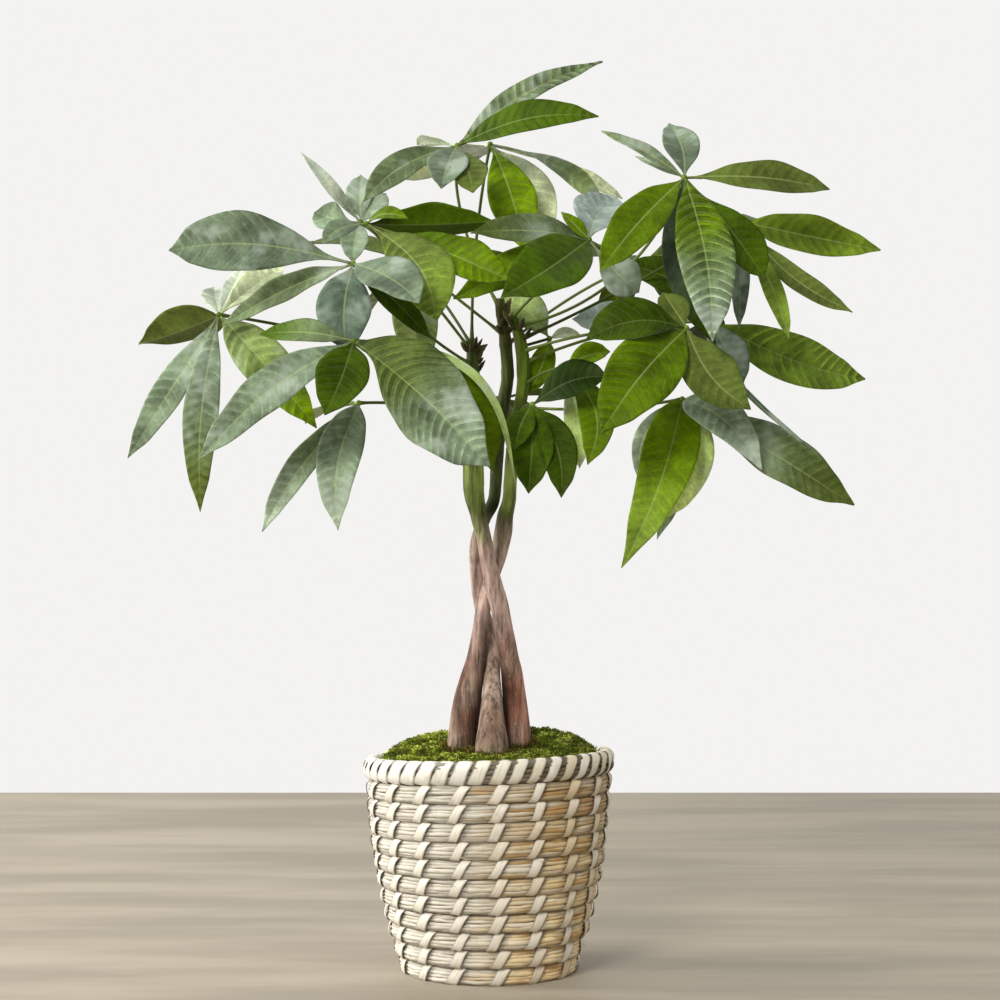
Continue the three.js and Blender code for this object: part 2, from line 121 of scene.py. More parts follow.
# Leaves
STALK_RADIUS = 1.15
STALK_STEPS = 26
STALK_SIDES = 10
HUB_RADIUS = 2.2
LEAFLET_ROOT = 1.6
LEAFLET_STEP = 1.3
BLADE_RIB = 1.0
BLADE_EDGE = 0.55
BLADE_ROOT = 1.5
ROOT_HALF_WIDTH = 0.75
TIP_HALF_WIDTH = 0.2
BLADE_ARCH = 0.1
BLADE_WIDEST = 0.56
FOLD = radians(14)
QUILT_HEIGHT = 1.3
WAVE_LENGTH = (34, 48)
VEIN_SPACING = 8.0
VEIN_SLANT = 0.42
VEIN_CURVE = 0.016
VEIN_DEPTH = 0.3

# Places across a blade and back under it, as shares of its half width
ACROSS = (-1, -0.86, -0.7, -0.52, -0.36, -0.2, -0.06, 0, 0.06, 0.2, 0.36, 0.52, 0.7, 0.86, 1)
AROUND = ACROSS + ACROSS[::-1]

# Share of a leaflet's half width at each share of its length
OUTLINE = [
    (0, 0.04), (0.05, 0.05), (0.1, 0.13), (0.3, 0.72), (BLADE_WIDEST, 1), (0.84, 0.6), (0.94, 0.22),
    (1, 0.01),
]

# The three stems: x, y, z and radius along their braid
STEMS = {
    "left": [
        (-22, 5, 112, 8), (-21, 4, 150, 11.5), (-20, 4, 168, 12.5), (-18.5, 4, 188, 11.8),
        (-16, 4, 209, 10.4), (-11.5, 4, 232, 7.8), (-7.5, 3, 255, 6.2), (-4, 3, 278, 5.7),
        (1.5, 5, 300, 5.6), (7, 5, 318, 6.2), (10.5, 4, 335, 6.8), (12.5, 3, 349, 5.9), (15.6, 2, 363, 5),
        (17, 1, 390, 4.9), (21, -1, 420, 4.8), (26, -3, 450, 4.8), (24.5, -4, 478, 5), (18, -4, 502, 2.6),
    ],
    "right": [
        (21, 7, 112, 8), (21, 6, 150, 11), (21, 6, 168, 11.5), (20.5, 6, 188, 10.6), (19.4, 5, 209, 9.2),
        (16.5, 0, 232, 8), (12.5, -6, 255, 7), (8.4, -9, 278, 6.7), (3, -9.5, 300, 6.3), (-1, -9, 318, 5.8),
        (-4, -8, 333, 5.6), (-8, -6, 350, 6.2), (-11, -5, 366, 7.6), (-12, -5, 392, 7.8), (-12, -6, 422, 6),
        (-12, -8, 452, 5), (-13, -9, 482, 4.2),
    ],
    "middle": [
        (3, -12, 112, 8), (2.5, -18, 150, 12.5), (2, -20, 168, 13.2), (2, -16, 190, 10.3),
        (2.6, -8, 209, 8), (2.6, 3.4, 225, 6.5), (2.2, 12, 240, 6.2), (0.4, 16, 257, 5.6),
        (-6, 17, 278, 5.2), (-9, 16.5, 300, 5.2), (-9.5, 14, 320, 5.2), (-8, 11, 333, 5), (-3, 9, 347, 4.7),
        (4, 9, 362, 4.6), (6, 9, 388, 4.8), (8, 10, 420, 5), (14, 10, 452, 4.8), (12.5, 8, 482, 4.4),
        (8, 6, 512, 3.7),
    ],
}

COLOURS = {
    # Blades, from dark to light: shade is painted shade, mist and glow are painted light, and grey, slate,
    # sage, haze and frost are partly painted sheen
    "shade": "1a2e03", "dark": "344803", "deep": "3e5604", "dusk": "465424", "green": "506804",
    "olive": "5a692c", "bright": "6a8222", "lime": "6c8a04", "leafy": "789232", "fern": "6c7c58",
    "slate": "667868", "grey": "6e7e66", "spring": "93a864", "sage": "829478", "haze": "98a8a0",
    "frost": "9cac94", "glow": "cfe68c", "pale": "c4ceb8", "mist": "e6f2c2",
    # Other parts of the leaves, and their painted sheen
    "painted sheen": "b4c0b4", "side vein": "b9cc8a", "rib": "b4c47e", "hub": "6c8230", "stalk": "5a6c2a",
    "dark stalk": "2c3812",
    # Stems
    "left bark": "6a4b3c", "right bark": "8c5e4c", "middle bark": "8c7363", "left rind": "727e40",
    "right rind": "7a8b46", "middle rind": "3e4a24", "left shoot": "4e6214", "right shoot": "3c481c",
    "middle shoot": "4a5420", "pale bark": "c4ac9a", "brown bark": "402518", "sunny bark": "c08c7c",
    "upper bark": "c4aaa0", "shadow bark": "26130b", "mossy bark": "4c4c1c", "corky shoot": "4a3c28",
    "bark fleck": "c9b7a8", "bud": "5a5230", "dark bud": "2c3014",
    # Basket
    "grey straw": "dad3c4", "warm straw": "dcc496", "ochre straw": "b58340", "bleached straw": "ece6d6",
    "stained straw": "94804e", "rim gap shade": "6e6040", "fray": "d9cba6", "dark fray": "a8925e",
    "stitch": "f2eada", "shaded stitch": "dfc9a2", "wrap": "f4f0e4", "shaded wrap": "dccaa4",
    # Moss, soil, pot and floor
    "moss": "aeb64a", "dark moss": "5f6b16", "brown moss in shadow": "4a3a14", "moss bed": "3c4a0e", "soil": "3a2a1c",
    "dark soil": "1c130c", "pot": "222220", "dark pot": "171717", "floor": "aca290", "dark floor": "948a78",
}

# The colour of the deepest hollows of each surface, in linear light
HOLLOWS = {
    "leaf": (0, 0, 0, 1), "bark": (0.012, 0.006, 0.004, 1), "crack": (0.02, 0.009, 0.005, 1),
    "straw": (0.03, 0.02, 0.01, 1), "moss": (0.02, 0.022, 0.004, 1),
}

# A leaflet is the place of its tip x, y, z, its width, its turn from up to the front in degrees, its bow in
# x and z, its tone or its tones from hub to tip, where it is widest, how deep its side veins are, and how
# much nearer the tip its right half is widest, seen from its hub
Leaflet = namedtuple("Leaflet", "x y z width turn bow_x bow_z tones widest depth skew",
                     defaults=[BLADE_WIDEST, VEIN_DEPTH, 0])

# Every leaf: its shoot, the height its stalk leaves at, the stalk's bend in x and z, its hub, its leaflets
LEAVES = {
    "far_left": ("right", 452, (0, 6), (-205, -60, 502), [
        (-275, -95, 393, 25, 62, 1, 1, "sage", 0.56, 0.5),
        (-220, -120, 352, 27, 74, -5, 0, "sage olive", 0.52, 0.6),
        (-266, -10, 480, 43, -42, -2, -2, "olive", 0.36), (-209, 28, 523, 24, -35, 0, 0, "pale"),
        (-156, -20, 538, 24, 56, 3, 5, "mist", 0.56, 0.4), (-186, 10, 540, 14, 14, 0, 0, "pale"),
        (-131, -78, 416, 38, 62, -3, 7, "spring lime", 0.52, 0.7),
    ]),
    "left": ("right", 464, (0, -6), (-103, -92, 541), [
        (-243, -112, 551, 49, 68, -4, 9, "grey", 0.62, 0.6),
        (-202, -80, 494, 25, 48, 0, 4, "fern", 0.56, 0.4),
        (-108, -112, 474, 42, 72, -4, 0, "slate", 0.54, 0.4), (-53, -165, 511, 42, 45, 4, 3, "grey", 0.5),
        (-44, -95, 484, 21, 58, 0, 2, "deep"),
    ]),
    "upper_left": ("right", 474, (2, 0), (-93, -40, 571), [
        (-40, -122, 498, 47, 62, 13, 4, "olive leafy", 0.6, 0.6),
        (15, -96, 528, 36, 56, 4, 1, "deep lime", 0.68, 0.5), (3, -35, 573, 36, -48, 2, -1, "deep", 0.52),
        (-61, -62, 575, 16, 42, -2, 5, "green", 0.5), (-126, -66, 556, 18, 50, -2, 4, "sage", 0.6),
    ]),
    "upper_left_young": ("middle", 486, (0, 0), (-97, 20, 572), [
        (-142, 0, 625, 12, 50, 0, 0, "pale", 0.5), (-97, 40, 608, 22, 66, -1, 0, "frost", 0.6, 0.4),
        (-78, 34, 594, 22, 62, 0, 1, "frost"), (-132, 34, 580, 26, 60, -1, -2, "sage", 0.7),
        (-103, -8, 542, 22, 68, -2, 0, "sage", 0.5),
    ]),
    "top": ("middle", 506, (-12, 4), (-24, 22, 630), [
        (86, 60, 693, 24, 42, -4, 7, "fern", 0.5, 1), (83, -16, 652, 30, 56, 0, 9, "deep", 0.5, 0.4),
        (-95, -12, 588, 26, 56, -6, 5, "fern", 0.56, 0.5), (-54, 78, 631, 26, -34, 0, 1, "pale"),
        (-67, 56, 605, 30, -56, 0, -1, "mist", 0.6), (-36, -52, 598, 32, 55, -1, 2, "grey"),
        (-12, -46, 595, 30, 52, 1, 3, "olive", 0.7),
    ]),
    "top_right": ("right", 478, (-4, 0), (1, 62, 631), [
        (27, -4, 551, 38, 76, 3, 1, "lime", 0.58, 0.4), (43, 48, 560, 36, 84, 9, 0, "mist"),
        (86, 62, 587, 18, 60, 4, 8, "frost spring", 0.74, 0.4), (101, 96, 590, 16, 46, 3, 4, "mist", 0.78),
        (-26, 150, 612, 34, -20, 0, 3, "pale", 0.56, 0.4),
    ]),
    "centre_right": ("left", 501, (0, 0), (76, -60, 559), [
        (-14, -88, 564, 30, 50, 0, 4, "fern dusk", 0.5, 0.4), (9, -140, 515, 48, 68, 1, -1, "deep", 0.46),
        (55, -62, 580, 13, 46, 0, 0, "lime", 0.5), (98, 0, 590, 44, 60, -5, 2, "haze", 0.6, 0.4),
        (114, -70, 519, 32, 66, -1, -2, "grey", 0.7), (-27, -66, 514, 30, 60, 0, 3, "green lime"),
    ]),
    "right_top": ("left", 493, (14, -18), (148, -82, 606), [
        (85, -60, 641, 15, 32, -1, 3, "fern", 0.5), (136, -6, 647, 28, 60, 4, 1, "grey"),
        (258, -80, 597, 29, 54, 3, 4, "olive", 0.58), (84, -136, 535, 36, 62, -3, 1, "green", 0.52),
        (170, -168, 482, 43, 72, 5, 0, "green sage", 0.5, 1.3), (209, -112, 530, 36, 44, 1, 2, "deep", 0.7),
        (111, -20, 622, 10, 40, 0, 0, "sage", 0.5), (172, -66, 479, 36, 62, -11, 0, "slate dark", 0.5),
    ]),
    "right": ("left", 483, (0, -4), (190, -22, 573), [
        (297, -30, 551, 34, 62, 0, -1, "bright", 0.5, 0.4), (276, -78, 504, 20, 52, -3, -8, "olive", 0.6),
        (228, -90, 484, 16, 52, 3, -1, "leafy", 0.6), (190, -60, 492, 15, 66, 0, 0, "slate"),
        (226, 78, 566, 34, 10, 0, 3, "olive", 0.56, 0.4),
    ]),
    "right_low": ("left", 465, (0, 8), (168, 14, 497), [
        (286, 6, 453, 41, 70, 5, -8, "leafy", 0.5, 1), (193, -30, 449, 32, 66, 0, 1, "slate", 0.56, 0.5),
        (101, -2, 540, 34, 60, 5, 9, "dark", 0.5, 0.4), (63, 22, 499, 30, 60, 0, 0, "haze", 0.7),
        (230, 104, 462, 36, 10, 0, 3, "dark", 0.56, 0.4), (160, 104, 466, 34, -30, 0, 3, "shade", 0.56, 0.4),
    ]),
    "front_right": ("left", 474, (0, 6), (150, -122, 492), [
        (85, -182, 412, 53, 72, -3, 3, "green", 0.48, 0.5), (74, -140, 484, 42, 46, 0, 9, "dark", 0.56, 0.4),
        (199, -160, 430, 41, 64, -6, -5, "olive", 0.52, 0.4), (254, -126, 393, 7, 24, -2, -4, "slate", 0.5),
        (132, -98, 519, 24, 50, 0, 0, "olive"),
    ]),
    "low_right": ("left", 432, (0, -4), (147, -92, 438), [
        (101, -150, 309, 42, 80, 5, 0, "lime leafy", 0.34, 0.4),
        (278, -112, 357, 42, 56, 1, 1, "fern olive", 0.58, 0.5),
        (208, -136, 384, 34, 56, 3, 9, "sage frost", 0.4, 0.4),
        (117, -96, 371, 14, 60, -14, 5, "frost", 0.5), (128, -82, 331, 22, 72, 5, 0, "sage", 0.5),
        (130, -100, 344, 44, 76, 9, 0, "glow", 0.46),
    ]),
    "centre_low": ("left", 425, (0, 3), (33, -48, 434), [
        (30, -92, 366, 34, 70, 1, 0, "deep", 0.5, 0.2), (55, -92, 363, 30, 68, 8, 1, "dark", 0.5, 0.2),
        (91, -76, 455, 33, 56, 0, 7, "shade", 0.54, 0.2), (20, -86, 400, 22, 60, -2, 2, "deep", 0.56, 0.2),
    ]),
    "centre_pale": ("left", 448, (0, 3), (57, -30, 462), [
        (69, -58, 385, 20, 74, 3, 0, "glow", 0.6), (92, -34, 474, 24, 44, 0, 3, "lime"),
        (75, -85, 388, 28, 62, 15, 2, "green"),
    ]),
    "centre_young": ("left", 478, (0, 0), (46, 12, 484), [
        (10, 34, 516, 30, 70, 2, 4, "spring", 0.56, 0.4), (30, 2, 442, 20, 72, 2, 0, "lime", 0.5, 0.2),
        (71, 14, 486, 12, 40, 0, 3, "mist", 0.5, 0.2),
    ]),
    "front_left": ("right", 440, (0, 12), (-103, -128, 482), [
        (-222, -168, 391, 33, 62, -2, 9, "sage", 0.52, 0.5),
        (1, -198, 386, 66, 62, 2, 5, "dusk sage", 0.54, 0.9, 0.1),
        (3, -122, 382, 42, 50, 22, 14, "green", 0.6, 0.2), (20, -128, 374, 7, 60, 28, 28, "spring", 0.5, 0),
        (-125, -170, 426, 40, 72, 2, 0, "dark", 0.5, 0.4),
        (-174, -112, 487, 24, 46, 0, 4, "fern deep", 0.56, 0.4),
    ]),
    "low_left": ("right", 424, (0, 4), (-99, -80, 435), [
        (-173, -110, 337, 23, 48, -7, 0, "fern frost", 0.5, 0.4),
        (-115, -124, 338, 34, 74, -8, 0, "sage frost", 0.4, 0.4),
        (-140, -20, 420, 28, 10, 0, 3, "leafy", 0.56, 0.4),
    ]),
    "back_left": ("right", 478, (0, 6), (-62, 116, 542), [
        (-140, 160, 556, 40, 10, 0, 6, "olive", 0.56, 0.5),
        (-112, 156, 452, 38, 10, -6, 4, "green", 0.56, 0.5),
        (-70, 230, 520, 42, -30, 0, 5, "green", 0.56, 0.5),
        (20, 190, 540, 38, -10, 0, 6, "green", 0.56, 0.5),
        (-52, 190, 452, 38, -40, 0, 5, "spring", 0.56, 0.5),
    ]),
    "back_right": ("middle", 478, (0, 6), (112, 110, 540), [
        (206, 160, 560, 42, 10, 0, 6, "green", 0.56, 0.5), (180, 190, 480, 40, -20, 0, 6, "dark", 0.56, 0.5),
        (70, 215, 545, 40, -30, 0, 5, "green", 0.56, 0.5), (30, 150, 560, 36, -10, 0, 6, "green", 0.56, 0.5),
        (86, 200, 486, 28, -40, 0, 5, "green", 0.56, 0.5),
    ]),
    "back_low": ("middle", 440, (0, 6), (10, 120, 440), [
        (-64, 170, 415, 38, -10, 0, 6, "green", 0.56, 0.5),
        (-30, 215, 402, 38, -30, 0, 5, "green", 0.56, 0.5), (40, 215, 395, 40, -30, 0, 5, "deep", 0.56, 0.5),
        (90, 170, 430, 36, -10, 0, 6, "deep", 0.56, 0.5),
    ]),
}


# Colours, curves and meshes

def linear(name):
    """A named colour in linear light."""
    code = COLOURS[name]
    channels = [int(code[i:i + 2], 16) / 255 for i in (0, 2, 4)]
    return Vector([c / 12.92 if c <= 0.04045 else ((c + 0.055) / 1.055) ** 2.4 for c in channels])


def smoothstep(low, high, value):
    share = min(max((value - low) / (high - low), 0), 1)
    return share * share * (3 - 2 * share)


def mix(a, b, share):
    return a + (b - a) * share


def tint(name, other, share):
    """A colour between two named ones, in linear light."""
    return mix(linear(name), linear(other), share)


def colour(name):
    return (*linear(name), 1)


def polar(angle, radius=1, z=0):
    return Vector((radius * cos(angle), radius * sin(angle), z))


def square_to(along, direction):
    """A direction turned square to another."""
    return (direction - along * direction.dot(along)).normalized()


def heading(path, i):
    """The direction of a path at its point i."""
    return (path[min(i + 1, len(path) - 1)] - path[max(i - 1, 0)]).normalized()


def hermite(rows, value):
    """A smooth curve through rows of (position, *values)."""
    k = 0
    while k < len(rows) - 2 and value > rows[k + 1][0]:
        k += 1
    low, high = rows[k], rows[k + 1]
    before, after = rows[max(k - 1, 0)], rows[min(k + 2, len(rows) - 1)]
    span = high[0] - low[0]
    t = (value - low[0]) / span
    out = []
    for a, b, c, d in zip(before[1:], low[1:], high[1:], after[1:]):
        rise = (c - a) / (high[0] - before[0]) * span
        fall = (d - b) / (after[0] - low[0]) * span
        out.append((2 * t ** 3 - 3 * t ** 2 + 1) * b + (t ** 3 - 2 * t ** 2 + t) * rise
                   + (3 * t ** 2 - 2 * t ** 3) * c + (t ** 3 - t ** 2) * fall)
    return out


class Piece:
    """Points, faces, and a tone and a mark at each point, gathered for one mesh."""

    def __init__(self):
        self.points = []
        self.faces = []
        self.tones = []
        self.marks = []

    def loft(self, rings, tone, mark=(0, 0, 0), joined=False):
        """Joins rings of points. tone and mark are a value, or a function of ring i and its point j."""
        start = len(self.points)
        sides = len(rings[0])
        last = len(rings) - 1
        for i, ring in enumerate(rings):
            for j, point in enumerate(ring):
                self.points.append(point)
                self.tones.append(tone(i, j) if callable(tone) else tone)
                self.marks.append(mark(i, j) if callable(mark) else mark)
        for i in range(len(rings) if joined else last):
            here = start + i * sides
            there = start + (i + 1) % len(rings) * sides
            for j in range(sides):
                right = (j + 1) % sides
                self.faces.append((here + j, here + right, there + right, there + j))
        if not joined:
            self.faces.append(tuple(start + j for j in reversed(range(sides))))
            self.faces.append(tuple(start + last * sides + j for j in range(sides)))

    def make(self, name, material, slot, *nodes):
        mesh = bpy.data.meshes.new(name)
        mesh.from_pydata([point * MM for point in self.points], [], self.faces)
        tones = mesh.color_attributes.new("tone", "FLOAT_COLOR", "POINT")
        tones.data.foreach_set("color", [c for tone, depth in self.tones for c in (*tone, depth)])
        marks = mesh.attributes.new("mark", "FLOAT_VECTOR", "POINT")
        marks.data.foreach_set("vector", [c for mark in self.marks for c in mark])
        mesh.polygons.foreach_set("use_smooth", [True] * len(mesh.polygons))
        mesh.materials.append(material)
        mesh.update()
        piece = new_object(name, mesh)
        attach(piece, "root")
        if nodes:
            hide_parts(*nodes)


def turns(count, way=1):
    """Angles once round a circle. way is 1 for anticlockwise and -1 for clockwise."""
    return [way * j * TURN / count for j in range(count)]


def new_object(name, data):
    thing = bpy.data.objects.new(name, data)
    scene.collection.objects.link(thing)
    return thing


def tube_rings(centres, radii, sides, swell=None):
    """Rings of points round a path. swell(i, angle, point) moves a point outwards."""
    rings = []
    for i, centre in enumerate(centres):
        along = heading(centres, i)
        across = Vector((0, 1, 0)).cross(along).normalized()
        deep = along.cross(across)
        ring = []
        for angle in turns(sides):
            out = across * cos(angle) + deep * sin(angle)
            point = centre + out * radii[i]
            ring.append(point + out * swell(i, angle, point) if swell else point)
        rings.append(ring)
    return rings


# Node helpers

def new_material(name):
    material = bpy.data.materials.new(name)
    material.use_nodes = True
    tree = material.node_tree
    return material, tree, tree.nodes["Principled BSDF"]


def add(tree, kind, inputs=None, **settings):
    """Adds a node. An input is a plain value or the socket that feeds it."""
    node = tree.nodes.new(kind)
    for key, value in settings.items():
        setattr(node, key, value)
    for key, value in (inputs or {}).items():
        if isinstance(value, bpy.types.NodeSocket):
            tree.links.new(value, node.inputs[key])
        else:
            node.inputs[key].default_value = value
    return node


def maths(tree, operation, *values):
    return add(tree, "ShaderNodeMath", dict(enumerate(values)), operation=operation).outputs[0]


def times(tree, first, second):
    return maths(tree, "MULTIPLY", first, second)


def ramp(tree, value, low, high, to_low=0.0, to_high=1.0):
    """A smooth step, from to_low where the value is low to to_high where it is high."""
    inputs = {0: value, 1: low, 2: high, 3: to_low, 4: to_high}
    return add(tree, "ShaderNodeMapRange", inputs, interpolation_type="SMOOTHSTEP").outputs[0]


def blend(tree, share, a, b):
    inputs = {0: share, 6: a, 7: b}
    return add(tree, "ShaderNodeMix", inputs, data_type="RGBA", clamp_factor=False).outputs[2]


def split(tree, vector):
    return add(tree, "ShaderNodeSeparateXYZ", {0: vector}).outputs


def tone_of(tree):
    """The colour and the depth that a piece has at each point."""
    node = add(tree, "ShaderNodeAttribute", attribute_name="tone")
    return node.outputs["Color"], node.outputs["Alpha"]


def mark_of(tree):
    """Where each point is on its own blade, strand or strip."""
    return add(tree, "ShaderNodeAttribute", attribute_name="mark").outputs["Vector"]


def grain(tree, scale, detail, rough=0.55, stretch=(1, 1, 1), at=None):
    """Noise over the object, or over the places at."""
    vector = add(tree, "ShaderNodeTexCoord").outputs["Object"] if at is None else at
    mapped = add(tree, "ShaderNodeMapping", {"Vector": vector, "Scale": stretch}).outputs[0]
    inputs = {"Vector": mapped, "Scale": scale, "Detail": detail, "Roughness": rough}
    return add(tree, "ShaderNodeTexNoise", inputs).outputs["Fac"]


def bump(tree, shader, height, strength, distance):
    node = add(tree, "ShaderNodeBump", {"Height": height, "Strength": strength, "Distance": distance})
    tree.links.new(node.outputs[0], shader.inputs["Normal"])


def coat(tree, shader, base, roughness, specular=0.5):
    """Gives a surface its base colour, roughness and specular level."""
    tree.links.new(base, shader.inputs["Base Color"])
    tree.links.new(roughness, shader.inputs["Roughness"])
    shader.inputs["Specular IOR Level"].default_value = specular


# Materials

def leaf_material():
    """Blade: pale rib and slanting side veins, mottled and puckered, with painted shade in the vein valleys,
    painted light and shade on either side of each pucker, clouds of painted sheen and a satin gloss.
    """
    material, tree, shader = new_material("leaf")
    tone, depth = tone_of(tree)
    out, along, share = split(tree, mark_of(tree))
    away = maths(tree, "ABSOLUTE", out)
    sweep = maths(tree, "MULTIPLY_ADD", away, VEIN_CURVE, VEIN_SLANT)
    start = maths(tree, "SUBTRACT", along, times(tree, away, sweep))
    slant = maths(tree, "WRAP", maths(tree, "DIVIDE", start, VEIN_SPACING), 0.5, -0.5)
    off = maths(tree, "ABSOLUTE", slant)
    vein = times(tree, ramp(tree, off, 0.03, 0.11, 1, 0), depth)

    light = add(tree, "ShaderNodeRGBToBW", {0: tone}).outputs[0]
    rib = times(tree, ramp(tree, away, 0.3, 0.95, 1, 0), ramp(tree, share, 0.5, 1, 1, 0.25))
    rib = times(tree, rib, ramp(tree, light, 0.02, 0.14, 0.08, 0.34))

    spots = grain(tree, 38, 5, 0.6)
    cells = grain(tree, 420, 2)
    # Clouds of painted sheen on the greyer tones, with painted shade between them
    sheen_patches = grain(tree, 26, 3, 0.6)
    blueness = split(tree, tone)[2]
    sheen_share = ramp(tree, blueness, 0.04, 0.12)
    # Painted shade along the vein valleys, and painted light on one side of each pucker with painted shade on
    # the other
    quilt_shading = times(tree, ramp(tree, grain(tree, 60, 2), 0.4, 0.6, 0.15, 1), depth)
    vein_shadow = times(tree, ramp(tree, off, 0, 0.34, 0.4, 0), quilt_shading)
    sheen_dark = times(tree, ramp(tree, sheen_patches, 0.36, 0.5, 0.3, 0), sheen_share)
    shade = times(tree, ramp(tree, spots, 0.34, 0.66, 0.66, 1.3), ramp(tree, cells, 0.3, 0.7, 0.88, 1.12))
    shade = times(tree, shade, maths(tree, "SUBTRACT", 1, vein_shadow))
    shade = times(tree, shade, maths(tree, "MULTIPLY_ADD", slant, quilt_shading, 1))
    shade = times(tree, shade, maths(tree, "SUBTRACT", 1, sheen_dark))

    base = blend(tree, shade, HOLLOWS["leaf"], tone)
    # Painted sheen: silver patches that stand for reflections
    base = blend(tree, times(tree, ramp(tree, sheen_patches, 0.5, 0.64, 0, 0.5), sheen_share), base, colour("painted sheen"))
    base = blend(tree, times(tree, vein, 0.1), base, colour("side vein"))
    base = blend(tree, rib, base, colour("rib"))
    coat(tree, shader, base, ramp(tree, spots, 0.3, 0.7, 0.4, 0.6), 0.12)
    shader.inputs["Specular Tint"].default_value = (0.85, 1, 0.4, 1)
    height = maths(tree, "MULTIPLY_ADD", vein, -0.8, times(tree, cells, 0.4))
    bump(tree, shader, height, 0.35, 0.0006)
    return material


def bark_material():
    """Bark: long shallow cracks, pale flecks and a rough surface; the shoots are smoother and green."""
    material, tree, shader = new_material("bark")
    tone, old = tone_of(tree)
    streak = grain(tree, 210, 6, 0.7, (1, 1, 0.13))
    crack = grain(tree, 330, 3, 0.5, (1, 1, 0.09))
    fleck = grain(tree, 420, 4, 0.6, (1, 1, 0.6))
    base = blend(tree, ramp(tree, streak, 0.34, 0.64, 0.35, 1.45), HOLLOWS["bark"], tone)
    base = blend(tree, times(tree, ramp(tree, crack, 0.4, 0.3, 0, 0.6), old), base, HOLLOWS["crack"])
    pale = times(tree, ramp(tree, fleck, 0.6, 0.74), times(tree, old, 0.4))
    base = blend(tree, pale, base, colour("bark fleck"))
    coat(tree, shader, base, ramp(tree, streak, 0.3, 0.7, 0.8, 0.62), 0.25)
    bump(tree, shader, maths(tree, "ADD", streak, times(tree, crack, 0.8)), 0.8, 0.0018)
    return material


def straw_material(name, fibre_strength, roughness):
    """Dried leaf fibre: fine lines along the strand, over the tone of each strand."""
    material, tree, shader = new_material(name)
    tone = tone_of(tree)[0]
    fibre = grain(tree, 1, 5, 0.6, (0.06, 3.2, 1), mark_of(tree))
    blotch = grain(tree, 85, 4)
    base = blend(tree, ramp(tree, fibre, 0.3, 0.68, 1 - fibre_strength, 1.1), HOLLOWS["straw"], tone)
    base = blend(tree, ramp(tree, blotch, 0.52, 0.75, 0, 0.25), base, colour("stained straw"))
    coat(tree, shader, base, ramp(tree, fibre, 0.3, 0.7, roughness + 0.1, roughness - 0.08), 0.4)
    bump(tree, shader, fibre, 0.5, 0.0006)
    return material


def moss_material():
    material, tree, shader = new_material("moss")
    tone = tone_of(tree)[0]
    clump = grain(tree, 130, 5)
    base = blend(tree, ramp(tree, clump, 0.32, 0.68, 0.75, 1.3), HOLLOWS["moss"], tone)
    coat(tree, shader, base, ramp(tree, clump, 0.3, 0.7, 0.95, 0.8), 0.12)
    bump(tree, shader, clump, 0.6, 0.001)
    return material


def plain_material(name, dark, light, roughness, scale, stretch=(1, 1, 1)):
    """A moulded, earthy or painted surface with a fine grain between two colours."""
    material, tree, shader = new_material(name)
    speck = grain(tree, scale, 5, 0.55, stretch)
    base = blend(tree, ramp(tree, speck, 0.35, 0.65), colour(dark), colour(light))
    coat(tree, shader, base, ramp(tree, speck, 0.3, 0.7, roughness - 0.06, roughness + 0.06))
    bump(tree, shader, speck, 0.25, 0.0005)
    return material


# Leaves

def from_front(x, y, z):
    """The place at depth y that looks from the eye as if it were at x and z in the plane of the trunk."""
    reach = 1 + y / -EYE.y
    return Vector((EYE.x + (x - EYE.x) * reach, y, EYE.z + (z - EYE.z) * reach))


def on_shoot(side, height):
    """The middle of a stem at a height."""
    rows = [(z, x, y) for x, y, z, radius in STEMS[side]]
    upper = next(k for k, row in enumerate(rows) if row[0] >= height)
    (z0, x0, y0), (z1, x1, y1) = rows[upper - 1], rows[upper]
    share = (height - z0) / (z1 - z0)
    return Vector((mix(x0, x1, share), mix(y0, y1, share), height))


def warp(widest):
    """The power that moves a blade's widest place along its rib."""
    return log(widest) / log(BLADE_WIDEST)


